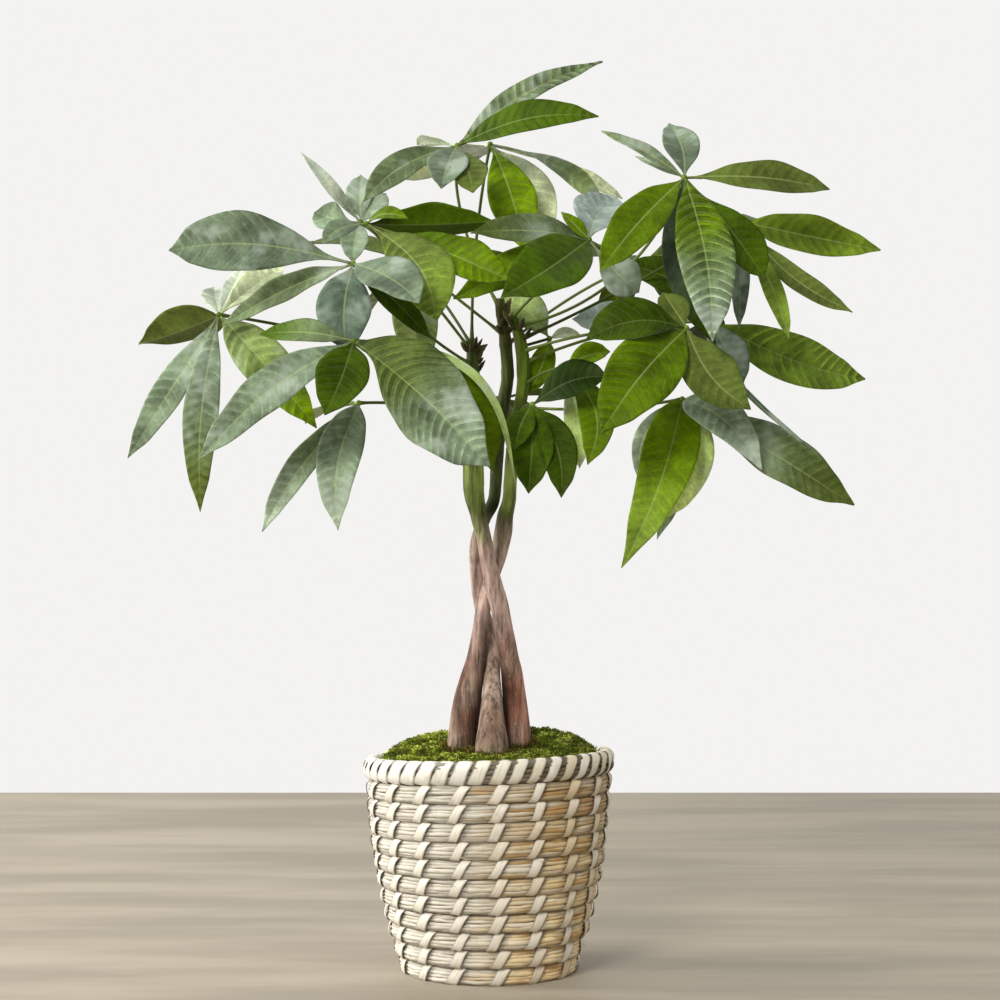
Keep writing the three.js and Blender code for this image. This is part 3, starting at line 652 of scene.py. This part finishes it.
def add_leaflet(piece, hub, leaflet, draw):
    """One blade: folded along its rib, quilted between its side veins, with a softly waved margin."""
    chord = from_front(leaflet.x, leaflet.y, leaflet.z) - hub
    length = chord.length
    along = chord.normalized()
    lean = radians(leaflet.turn)
    facing = square_to(along, Vector((0, -sin(lean), cos(lean))))
    bow = Vector((leaflet.bow_x, facing.y * BLADE_ARCH * length, leaflet.bow_z))
    waves = length / draw.uniform(*WAVE_LENGTH)
    phase = draw.uniform(0, TURN)
    ripple = draw.uniform(0.5, 1.3) * leaflet.width / 40
    bright = draw.uniform(0.92, 1.08)
    first, *last = [linear(tone) * bright for tone in leaflet.tones.split()]
    last = last[0] if last else first
    steps = max(24, round(length / LEAFLET_STEP))

    def rib(t):
        return hub + chord * t + bow * sin(pi * t)

    def half_at(share, across):
        share_here = share ** (warp(leaflet.widest) / warp(leaflet.widest + across * leaflet.skew))
        least = ROOT_HALF_WIDTH if share < 0.5 else TIP_HALF_WIDTH
        return max(hermite(OUTLINE, share_here)[0] * leaflet.width / 2, least)

    def lift(t, u, out):
        """How far the blade stands above its rib at a distance out, which is u of its half width."""
        row = (t * length - (VEIN_SLANT + VEIN_CURVE * out) * out) / VEIN_SPACING
        arch = sin(pi * min(abs(u), 1)) ** 0.7
        quilt = leaflet.depth * QUILT_HEIGHT * sin(pi * row) ** 2 * arch
        fold = out * sin(FOLD) * (1.2 - 0.2 * abs(u))
        swing = sin(TURN * waves * t + phase + (1.3 if u > 0 else 0))
        return fold + quilt + ripple * u * u * swing * smoothstep(0.1, 0.3, t)

    rings = []
    places = []
    for i in range(steps + 1):
        share = (i / steps) ** 0.92
        t = max(share ** warp(leaflet.widest), LEAFLET_ROOT / length)
        tangent = (rib(min(t + 0.01, 1)) - rib(t - 0.01)).normalized()
        up = square_to(tangent, facing)
        side = tangent.cross(up)
        centre = rib(t)
        halves = (half_at(share, -1), half_at(share, 1))
        upper, lower = [], []
        for u in ACROSS:
            half = halves[u > 0]
            thick = mix(BLADE_RIB, BLADE_EDGE, smoothstep(0, 0.3, abs(u))) if share >= 0.1 else BLADE_ROOT
            spot = centre + side * (u * half * cos(FOLD)) + up * lift(t, u, abs(u) * half)
            upper.append(spot)
            lower.append(spot - up * thick)
        rings.append(upper + lower[::-1])
        places.append((t, halves))

    def tone(i, j):
        top = mix(first, last, smoothstep(0.3, 0.9, places[i][0]))
        under = mix(top, linear("pale"), 0.45 if leaflet.turn > 0 else 0)
        return (top if j < len(ACROSS) else under, leaflet.depth)

    def mark(i, j):
        t, halves = places[i]
        u = AROUND[j]
        return (u * halves[u > 0], t * length, t)

    piece.loft(rings, tone, mark)


def add_stalk(piece, root, hub, bend, draw):
    """A thin stalk, thicker at the shoot and at the hub."""
    middle = (root + hub) / 2 + Vector((2 * bend[0], 0, 2 * bend[1]))
    centres, radii = [], []
    for i in range(STALK_STEPS + 1):
        t = i / STALK_STEPS
        centres.append(root * (1 - t) ** 2 + middle * 2 * t * (1 - t) + hub * t * t)
        radii.append(STALK_RADIUS + 0.9 * smoothstep(0.12, 0, t) + 0.7 * smoothstep(0.94, 1, t))
    tone = tint("dark stalk", "stalk", draw.random())
    rings = tube_rings(centres, radii, STALK_SIDES)
    piece.loft(rings, (tone, 0.0), lambda i, j: (0.0 if j else 3.0, i * 5.0, 0.8))


def add_hub(piece, centre):
    """The small swollen joint where the leaflets meet."""
    steps, sides = 8, 12
    rings = []
    for i in range(steps + 1):
        angle = pi * (0.04 + 0.92 * i / steps)
        out, up = HUB_RADIUS * sin(angle), -HUB_RADIUS * cos(angle)
        rings.append([centre + polar(turn, out, up) for turn in turns(sides)])
    piece.loft(rings, (linear("hub"), 0.0), (3.0, 0.0, 0.5))


def make_leaf(name, row, material, draw):
    shoot, height, bend, hub_place, leaflets = row
    hub = from_front(*hub_place)
    piece = Piece()
    add_stalk(piece, on_shoot(shoot, height), hub, bend, draw)
    add_hub(piece, hub)
    for leaflet in leaflets:
        add_leaflet(piece, hub, Leaflet(*leaflet), draw)
    piece.make(f"leaf_{name}_fine", material, "leaf", f"leaf_{name}")


# Stems

def add_bud(piece, foot, direction, draw):
    """A leaf scar or a bud: a short tapered stub on a shoot."""
    along = direction.normalized()
    length, girth = draw.uniform(6, 13), draw.uniform(1.5, 2.4)
    centres = [foot + along * (length * t) + Vector((0, 0, t * t)) for t in (0, 0.35, 0.7, 1)]
    tone = tint("dark bud", "bud", draw.random())
    rings = tube_rings(centres, [girth, girth * 1.05, girth * 0.75, girth * 0.15], BUD_SIDES)
    piece.loft(rings, (tone, 0.2))


def stem_swell(angle, point, seed):
    """How far bark stands out: long cracks and lumps on the old wood, leaf scars on the green shoot."""
    long_crack = noise(polar(angle, 2.4, point.z * 0.022) + seed)
    lump = noise(Vector((point.x * 0.09, point.y * 0.09, point.z * 0.06)) + seed)
    scar = exp(-((point.z * 0.047 + noise(seed + point * 0.03)) % 1 - 0.5) ** 2 * 70)
    rough = smoothstep(360, 300, point.z)
    return 0.55 * long_crack * (0.4 + rough) + 0.5 * lump + 0.45 * scar * smoothstep(340, 400, point.z)


def stem_tone(side, point, facing, patch):
    """A stem's colour, and how old its bark is, with a painted highlight on the right stem's right side and
    painted shadow on the sides of the left and right stems that face each other below the braid. facing runs
    from -1 on its left side to 1 on its right.
    """
    z = point.z
    # Painted highlight: the right stem's right side is lighter and redder
    sunny = smoothstep(0.35, 1, facing) if side == "right" else 0
    # Painted shadow on the sides of the left and right stems that face the other stems
    inner = smoothstep(-0.1, 0.9, {"left": facing, "right": -facing, "middle": -1}[side])
    old = tint(f"{side} bark", "pale bark", 0.45 * smoothstep(-0.2, 0.5, patch))
    old = mix(old, linear("brown bark"), 0.5 * smoothstep(0.05, 0.5, -patch))
    old = mix(old, linear("sunny bark"), 0.75 * sunny)
    old = mix(old, linear("upper bark"), 0.75 * smoothstep(*BRAID_TOP, z))
    old = mix(old, linear("shadow bark"), 0.8 * inner * (1 - smoothstep(*BRAID_TOP, z)))
    old = mix(old, linear("mossy bark"), 0.55 * smoothstep(*MOSSY_BELOW, z + 10 * patch))
    fresh = tint(f"{side} rind", f"{side} shoot", smoothstep(*SHOOT_FROM, z))
    young = mix(fresh * 0.65, fresh * 1.3, smoothstep(-0.3, 0.4, patch))
    young = mix(young, linear("corky shoot"), 0.6 * smoothstep(*CORKY_FROM, z) * smoothstep(0, -0.6, facing))
    green = smoothstep(*GREEN_FROM, z + 16 * patch)
    return (mix(old, young, green), 1 - green)


def make_stem(side, material, draw):
    rows = STEMS[side]
    spans = [(k, *row) for k, row in enumerate(rows)]
    steps = (len(rows) - 1) * STEM_STEPS
    centres, radii = [], []
    for i in range(steps + 1):
        *place, radius = hermite(spans, i / STEM_STEPS)
        centres.append(Vector(place))
        radii.append(radius)
    seed = Vector([draw.uniform(0, 90) for k in range(3)])

    def swell(i, angle, point):
        return smoothstep(0, 4, i) * smoothstep(steps, steps - 3, i) * stem_swell(angle, point, seed)

    rings = tube_rings(centres, radii, STEM_SIDES, swell)
    tip = rings[-1]
    middle = sum(tip, Vector()) / STEM_SIDES
    for rise, shrink in ((1.6, 0.8), (2.6, 0.45)):
        rings.append([middle + (point - middle) * shrink + Vector((0, 0, rise)) for point in tip])

    def tone(i, j):
        point = rings[i][j]
        return stem_tone(side, point, cos(j * TURN / STEM_SIDES), noise(point * 0.035 + seed))

    piece = Piece()
    piece.loft(rings, tone)
    for k in range(BUDS[side]):
        centre = centres[-1 - round(BUD_REACH * draw.random())]
        out = polar(draw.uniform(0, TURN))
        direction = out * draw.uniform(0.5, 1) + Vector((0, 0, draw.uniform(0.4, 1)))
        add_bud(piece, centre + out * 3.5, direction, draw)
    piece.make(f"stem_{side}_bark", material, "bark", f"stem_{side}")


# Basket

def handmade(point):
    """The handmade rows climb to the right and dip to the back, more so towards the rim."""
    point.z += (RIM_SLOPE * point.x - RIM_TILT * point.y) * point.z / RIM_TOP
    return point


def around(angle, radius, z):
    return handmade(polar(angle, radius, z))


def wall_radius(z):
    share = 1 - (1 - min(max(z / WALL_TOP, 0), 1)) ** WALL_CURL
    return FOOT_RADIUS + (WALL_TOP_RADIUS - FOOT_RADIUS) * share


def coil_middle(coil):
    return WALL_TOP - (coil + 0.5) * COIL_HEIGHT


def coil_section(middle, phi, proud=0.0):
    """Radius and height on a coil's rounded face. phi is -90 at its lower crease and 90 at its upper one."""
    swell = max(0, cos(phi)) ** COIL_ROUNDNESS
    radius = wall_radius(middle) - COIL_DEPTH + (COIL_DEPTH - STRAND_RADIUS + proud) * swell
    return radius, middle + (COIL_HEIGHT / 2 - STRAND_RADIUS * 0.75 + 0.7 * proud) * sin(phi)


def rim_section(turn, proud=0.0):
    """Radius and height on the rim's rounded square section. turn 0 is its outer side, 90 its top."""
    across, up = (copysign(abs(value) ** RIM_ROUNDNESS, value) for value in (cos(turn), sin(turn)))
    radius = RIM_RADIUS - RIM_WIDTH / 2 + (RIM_WIDTH / 2 - 1.2 + proud) * across
    return radius, RIM_TOP - RIM_HEIGHT / 2 + (RIM_HEIGHT / 2 - 1.4 + proud) * up


def straw_tone(angle, z, seed):
    """Grey straw on the side towards the main light and olive or ochre straw elsewhere, partly the straw's
    own colours and partly painted light and shade, with bleached patches; lighter towards the bottom as
    painted bounce light.
    """
    patch = noise(polar(angle, 2.2, z * 0.05) + Vector((seed * 3.1, 7.0, 2.0)))
    warm = smoothstep(-0.4, 0.6, cos(angle) + 0.5 * patch)
    # Towards the right, away from the main light, the straw is warmer and darker, partly painted shade; there
    # it is also lighter low down and darker near the top, painted bounce light and painted shadow under the
    # rim
    base = mix(linear("grey straw"), linear("warm straw") * mix(1.25, 0.84, z / WALL_TOP), warm)
    base = mix(base, linear("ochre straw"), 0.7 * smoothstep(0.12, 0.45, patch) * warm)
    base = mix(base, linear("bleached straw"), 0.5 * smoothstep(0.1, 0.5, -patch))
    # Lighter towards the bottom: painted bounce light
    return base * mix(1.22, 1.03, z / WALL_TOP)


def stitch_places(middle):
    """The angle of the stitch near the front of a coil, and the angle from one stitch to the next."""
    radius = wall_radius(middle)
    count = round(TURN * radius / STITCH_SPACING)
    return (STITCH_FRONT - STITCH_LEAN / 2) / radius - TURN / 4, TURN / count


def beside(angle, middle, phi=0):
    """How far an angle is to the right of the nearest stitch at phi, as a share of their spacing."""
    first, spacing = stitch_places(middle)
    first += STITCH_LEAN * (0.5 + degrees(phi) / (2 * STITCH_REACH)) / wall_radius(middle)
    return (angle - first + spacing / 2) % spacing / spacing - 0.5


def pinch(angle, middle):
    """How near an angle is to a stitch, from 0 between stitches to 1 under one."""
    return 1 - smoothstep(0.12, 0.45, abs(beside(angle, middle)))


def crease_shade(angle, lit):
    """How dark a strand is where little light reaches it, more so on the side away from the main light."""
    return mix(mix(0.5, 0.2, smoothstep(-0.7, 0.3, cos(angle))), 1, lit)


def stitch_shade(angle, middle, phi):
    """How dark a strand is next to a stitch, more so on its right, away from the main light."""
    aside = beside(angle, middle, phi)
    return 1 - (0.55 if aside > 0 else 0.1) * smoothstep(0.3, 0.15, abs(aside))


def add_strand(piece, radius_at, level, thick, seed, shade_at, steps=STRAND_STEPS):
    """A seagrass strand all the way round, wandering a little in height and thickness."""
    angles = turns(steps, -1)
    rings = []
    for angle in angles:
        spot = polar(angle, 4, seed * 5.3)
        wander = noise(spot)
        girth = thick * (1 + 0.35 * noise(spot * 2.3 + Vector((3, 1, 4))))
        radius = radius_at(angle) + 0.35 * wander
        z = level + 0.9 * wander
        ring = []
        for turn in turns(STRAND_SIDES):
            ring.append(around(angle, radius + girth * cos(turn), max(z + girth * sin(turn), 0.1)))
        rings.append(ring)
    tints = [straw_tone(angle, level, seed) * shade_at(angle) for angle in angles]
    arc = WALL_TOP_RADIUS * TURN / steps

    def mark(i, j):
        return (i * arc, j * 1.4 + seed * 9, 0)

    piece.loft(rings, lambda i, j: (tints[i], 0.5), mark, joined=True)


def make_coils(material, draw):
    """The strands of each coil, drawn in under its stitches."""
    piece = Piece()
    for coil in range(COILS):
        middle = coil_middle(coil)
        for strand in range(COIL_STRANDS):
            phi = radians(mix(-COIL_REACH, COIL_REACH, strand / (COIL_STRANDS - 1)))
            radius, level = coil_section(middle, phi)
            seed = draw.uniform(0, 50)
            thick = STRAND_RADIUS * draw.uniform(0.75, 1.25)

            def radius_at(angle):
                return radius - 0.7 * pinch(angle, middle)

            def shade_at(angle):
                return crease_shade(angle, cos(phi) ** 0.5) * stitch_shade(angle, middle, phi)

            add_strand(piece, radius_at, level, thick, seed, shade_at)
    piece.make("basket_coils", material, "seagrass")


def make_core(material):
    """The wall behind the strands, the floor and the coiled underside, darkened as painted shade."""
    outline = [(FLOOR_THICKNESS, 0.2), (FLOOR_THICKNESS, wall_radius(FLOOR_THICKNESS) - WALL_THICKNESS)]
    outline += [(z, wall_radius(z) - WALL_THICKNESS) for z in (40, 80, 120, WALL_TOP)]
    outline.append((WALL_TOP, WALL_TOP_RADIUS - COIL_DEPTH - 0.6))
    for coil in range(COILS):
        middle = coil_middle(coil)
        low = middle - COIL_HEIGHT / 2
        outline.append((middle, wall_radius(middle) - 2.6))
        outline.append((max(low, 0.9), wall_radius(low) - COIL_DEPTH - 0.2))
    for k in range(FLOOR_RIPPLES):
        radius = (FOOT_RADIUS - 5) * (1 - k / FLOOR_RIPPLES)
        outline.append((0.15 + 1.3 * abs(cos(pi * k / 5)), max(radius, 0.2)))
    angles = turns(CORE_STEPS, -1)
    rings = [[around(angle, radius, z) for angle in angles] for z, radius in outline]
    # Painted shade: the core is mixed towards the dark hollow colour of the straw
    hollow = Vector(HOLLOWS["straw"][:3])
    tints = [mix(straw_tone(angle, 60, 4), hollow, 0.45) for angle in angles]
    piece = Piece()
    piece.loft(rings, lambda i, j: (tints[j], 0.5), lambda i, j: (j * 4.1, i * 3.0, 0))
    piece.make("basket_core", material, "seagrass", "basket")


def add_strip(piece, at, proud, steps, width, thick, tone, seed):
    """A flat fibre strip, crowned across its width. at(t, proud) is a place along it, standing out by proud.

    The strip lies at the middle of the three values of proud, and the outer two give its outward direction.
    """
    across = (-1, -0.7, -0.25, 0.25, 0.7, 1)
    inner, middle, outer = proud
    path = [at(i / steps, middle) for i in range(steps + 1)]
    rings = []
    for i, point in enumerate(path):
        out = (at(i / steps, outer) - at(i / steps, inner)).normalized()
        side = heading(path, i).cross(out).normalized()
        face = [point + side * (u * width / 2) + out * (thick * (1 - 0.55 * u * u)) for u in across]
        back = [point + side * (u * width / 2) for u in across]
        rings.append(face + back[::-1])
    both = across + across[::-1]

    def tone_at(i, j):
        # Both long edges are darker: painted shade along the sides of the strip
        return (tone * (0.4 if abs(both[j]) == 1 else 1), 0.2)

    def mark_at(i, j):
        return (i * 2.2 + seed, both[j] * width * 0.28 + seed, 0)

    piece.loft(rings, tone_at, mark_at)


def make_stitches(material, draw):
    """The slanted cream stitches that bind each coil to the one below."""
    piece = Piece()
    for coil in range(COILS):
        middle = coil_middle(coil)
        radius = wall_radius(middle)
        first, spacing = stitch_places(middle)
        for column in range(round(TURN / spacing)):
            foot = first + column * spacing + draw.gauss(0, 1.0) / radius
            lean = (STITCH_LEAN + draw.gauss(0, 1.2)) / radius
            width = STITCH_WIDTH * draw.uniform(0.86, 1.1)
            # Stitches away from the main light turn at random to a darker, yellower cream: random tone, as
            # painted shade on that side only
            shaded_share = draw.random() * smoothstep(-0.5, 0.8, cos(foot))
            tone = tint("stitch", "shaded stitch", shaded_share)

            def at(t, proud):
                phi = radians(mix(-STITCH_REACH, STITCH_REACH, t))
                r, z = coil_section(middle, phi, proud)
                return around(foot + lean * t, r + 0.9, max(z, 0.2))

            add_strip(piece, at, (0.0, 0.95, 2.0), STITCH_STEPS, width, 0.75, tone, draw.uniform(0, 99))
    piece.make("basket_stitches", material, "rim_wrap")


def make_rim_bundle(material, draw):
    """Seagrass strands bundled into a rim, round a plain core that is dark as painted shade in the gaps."""
    piece = Piece()

    def shade_at(angle):
        return crease_shade(angle, RIM_LIGHT)

    for strand in range(RIM_STRANDS):
        radius, level = rim_section(strand * TURN / RIM_STRANDS, -1.1)
        seed = draw.uniform(0, 50)
        add_strand(piece, lambda angle: radius, level, RIM_STRAND_RADIUS, seed, shade_at, RIM_STEPS)
    sides = 16
    angles = turns(RIM_STEPS, -1)
    sections = [rim_section(pi - k * TURN / sides, -1.6) for k in range(sides)]
    rings = [[around(angle, *section) for angle in angles] for section in sections]
    # The core showing between the strands is dark: painted shade in the gaps
    piece.loft(rings, (linear("rim gap shade"), 0.4), lambda i, j: (j * 4, i * 2, 0), joined=True)
    piece.make("basket_rim_bundle", material, "seagrass", "basket_rim")


def make_rim_wraps(material, draw):
    """The slanted cream strips wrapped round the rim."""
    piece = Piece()
    for strip in range(RIM_STRIPS):
        start = strip * TURN / RIM_STRIPS + draw.gauss(0, 0.5) / RIM_RADIUS
        sunny = smoothstep(0.3, -0.6, cos(start))
        width = mix(*RIM_STRIP_WIDTH, sunny) * draw.uniform(0.93, 1.06)
        # Wraps away from the main light turn at random to a darker, yellower cream: random tone, as painted
        # shade on that side only
        tone = tint("wrap", "shaded wrap", draw.random() * 0.8 * (1 - sunny))

        def at(t, proud):
            turn = mix(-pi * 0.62, pi * 1.3, t)
            r, z = rim_section(turn, proud)
            lean = RIM_LEAN / RIM_RADIUS * (sin(min(max(turn, -pi / 2), pi / 2)) + 1) / 2
            return around(start + lean, r, z)

        add_strip(piece, at, (-1.0, 0.3, 1.5), 30, width, 0.95, tone, draw.uniform(0, 99))
    piece.make("basket_rim_wraps", material, "rim_wrap")


def make_frays(material, draw):
    """A few loose fibres that stand out of the weave."""
    piece = Piece()
    steps = 6
    for k in range(FRAYS):
        angle = draw.uniform(0, TURN)
        z = draw.uniform(12, RIM_TOP)
        start = around(angle, wall_radius(min(z, WALL_TOP)) - 0.6, z)
        out = polar(angle)
        flow = Vector((-out.y, out.x, 0)) * draw.choice((-1, 1))
        length = draw.uniform(5, 12)
        droop = Vector((0, 0, draw.uniform(-3, 3)))
        centres, radii = [], []
        for i in range(steps + 1):
            t = i / steps
            centres.append(start + flow * (length * t) + out * (2.6 * sin(t * 1.8)) + droop * (t * t))
            radii.append(mix(0.34, 0.12, t))
        tone = tint("fray", "dark fray", draw.random())
        piece.loft(tube_rings(centres, radii, 4), (tone, 0.2), lambda i, j: (i * 2, j, 0))
    piece.make("basket_frays", material, "seagrass")


# Moss

def moss_height(x, y):
    """The mound, higher at the back, with its soft clumps."""
    inward = max(1 - (hypot(x, y) / MOSS_EDGE) ** 2, 0)
    back = smoothstep(-MOSS_EDGE / 4, MOSS_EDGE * 0.7, y)
    across, deep, slanted = (TURN / pitch for pitch in MOSS_PITCH)
    clumps = sin(x * across) * cos(y * deep) + 0.6 * sin((x + y) * slanted)
    edge = MOSS_EDGE_HEIGHT + MOSS_BACK_RISE * back
    dome = MOSS_DOME * inward + MOSS_BACK_SWELL * back * sqrt(inward)
    return edge + dome + MOSS_CLUMP * clumps * inward


def flat_noise(x, y, scale, seed):
    return noise(Vector((x * scale, y * scale, seed)))


def moss_cushion(x, y):
    """The mound with bumps, sunk a little at its edge."""
    bumps = flat_noise(x, y, 0.11, 3.0) * 1.8 + flat_noise(x, y, 0.3, 8.0) * 1.5
    inner = smoothstep(MOSS_EDGE, MOSS_EDGE - 8, hypot(x, y))
    return moss_height(x, y) - 0.6 + bumps * (0.3 + 0.7 * inner) - 1.6 * (1 - inner)


def trunk_gap(x, y):
    """How far a place on the moss is from the nearest stem, below 0 inside one."""
    roots = [rows[2] for rows in STEMS.values()]
    return min(hypot(x - root[0], y - root[1]) - root[3] for root in roots)


def moss_tone(x, y, draw):
    """Fresh green with painted shade in its hollows, painted light on the left and painted shade on the
    right, and brown next to the trunk, partly the moss's own colour and partly painted shadow.
    """
    # Brown next to the trunk: partly the moss's colour, partly painted shadow at the foot of the stems
    brown = smoothstep(13, 1, trunk_gap(x, y) + draw.uniform(-3, 3))
    patch = flat_noise(x, y, 0.06, 1.0)
    hollow = flat_noise(x, y, 0.13, 5.0) + 0.5 * flat_noise(x, y, 0.4, 9.0)
    lively = smoothstep(-0.3, 0.45, patch + draw.uniform(-0.25, 0.25))
    fresh = tint("dark moss", "moss", lively)
    # Painted shade in the noise hollows, and painted light on the left fading to painted shade on the right
    fresh = fresh * mix(0.3, 1.2, smoothstep(-0.35, 0.25, hollow)) * mix(1.15, 0.75, smoothstep(-50, 60, x))
    return mix(fresh, linear("brown moss in shadow"), 0.85 * brown)


def add_moss_bed(piece):
    """The closed surface that the tufts stand on."""
    angles = turns(MOSS_STEPS)
    rings = [[around(angle, MOSS_EDGE - 3, MOSS_EDGE_HEIGHT - 12) for angle in angles]]
    for share in [1 - k / MOSS_RINGS for k in range(MOSS_RINGS)] + [0.01]:
        ring = []
        for angle in angles:
            x, y = MOSS_EDGE * share * cos(angle), MOSS_EDGE * share * sin(angle)
            ring.append(handmade(Vector((x, y, moss_cushion(x, y)))))
        rings.append(ring)
    piece.loft(rings, (linear("moss bed"), 0))


def add_tuft(piece, x, y, draw):
    """A leaning tuft, taller against the trunk and paler at its tip."""
    foot = Vector((x, y, moss_cushion(x, y) - 0.6))
    lean = Vector((draw.gauss(0, 0.7), draw.gauss(0, 0.7), 1)).normalized()
    length = draw.uniform(1.4, 3.2) * mix(2.4, 1, smoothstep(0, 6, trunk_gap(x, y)))
    girth = draw.uniform(0.45, 0.9)
    curl = Vector((draw.gauss(0, 0.8), draw.gauss(0, 0.8), -0.4))
    centres = [handmade(foot + lean * (length * t) + curl * (t * t)) for t in (0, 0.5, 1)]
    tone = moss_tone(x, y, draw)
    tones = (tone * 0.7, tone, tone * 1.3)
    rings = tube_rings(centres, (girth, girth * 0.85, girth * 0.15), 3)
    piece.loft(rings, lambda i, j: (tones[i], 1))


def make_moss(material, draw):
    piece = Piece()
    add_moss_bed(piece)
    made = 0
    while made < MOSS_TUFTS:
        x, y = (draw.uniform(-MOSS_EDGE, MOSS_EDGE) for k in range(2))
        if hypot(x, y) <= MOSS_EDGE - 0.8 and trunk_gap(x, y) >= -0.5:
            add_tuft(piece, x, y, draw)
            made += 1
    piece.make("moss_cushion", material, "moss", "moss")


# Floor, light and camera

def make_floor():
    mesh = bpy.data.meshes.new("floor")
    corners_m = [(-4, -4, 0), (4, -4, 0), (4, 0.9, 0), (-4, 0.9, 0)]
    mesh.from_pydata(corners_m, [], [(0, 1, 2, 3)])
    floor = new_object("floor", mesh)
    mesh.materials.append(plain_material("floor_paint", "dark floor", "floor", 0.6, 7, (0.3, 1.6, 1)))


def add_light(name, place_m, target_m, size_m, watts, hue):
    lamp = bpy.data.lights.new(name, "AREA")
    lamp.shape = "DISK"
    lamp.size = size_m
    lamp.energy = watts
    lamp.color = hue
    light = new_object(name, lamp)
    light.location = place_m
    light.rotation_euler = (Vector(target_m) - Vector(place_m)).to_track_quat("-Z", "Y").to_euler()


def make_lights():
    """A bright backdrop behind the plant, dimmer in front, with the main light on the left."""
    world = bpy.data.worlds.new("studio")
    world.use_nodes = True
    tree = world.node_tree
    depth = split(tree, add(tree, "ShaderNodeTexCoord").outputs["Generated"])[1]
    back = tree.nodes["Background"]
    back.inputs["Color"].default_value = (0.97, 0.962, 0.945, 1)
    tree.links.new(ramp(tree, depth, -0.3, 0.8, 0.5, 0.93), back.inputs["Strength"])
    scene.world = world
    scene.view_settings.view_transform = "Standard"
    add_light("main", (-2.2, 0.2, 1.3), (0, 0, 0.4), 1.5, 55, (1, 0.99, 0.97))
    add_light("front", (-0.9, -2.3, 2.0), (0, 0, 0.35), 1.0, 56, (1, 0.99, 0.96))


def make_camera():
    lens = bpy.data.cameras.new("camera")
    lens.lens = CAMERA_LENS
    lens.sensor_width = SENSOR_WIDTH
    camera = new_object("camera", lens)
    camera.location = EYE * MM
    camera.rotation_euler = (radians(90 - CAMERA_PITCH), 0, 0)
    scene.camera = camera


def dress_node(name, material):
    """Gives a solid of the frame, which stays as it is, its material."""
    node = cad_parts[name]
    node.data.materials.clear()
    node.data.materials.append(material)


def main():
    draw = random.Random(7)
    make_camera()
    leaf = leaf_material()
    bark = bark_material()
    straw = straw_material("seagrass", 0.38, 0.62)
    cream = straw_material("palm_strip", 0.22, 0.5)
    for name, row in LEAVES.items():
        make_leaf(name, row, leaf, draw)
    for side in STEMS:
        make_stem(side, bark, draw)
    make_core(straw)
    make_coils(straw, draw)
    make_stitches(cream, draw)
    make_rim_bundle(straw, draw)
    make_rim_wraps(cream, draw)
    make_frays(straw, draw)
    make_moss(moss_material(), draw)
    dress_node("nursery_pot", plain_material("pot_plastic", "dark pot", "pot", 0.5, 700))
    dress_node("soil", plain_material("soil", "dark soil", "soil", 0.92, 260))
    make_floor()
    make_lights()


main()
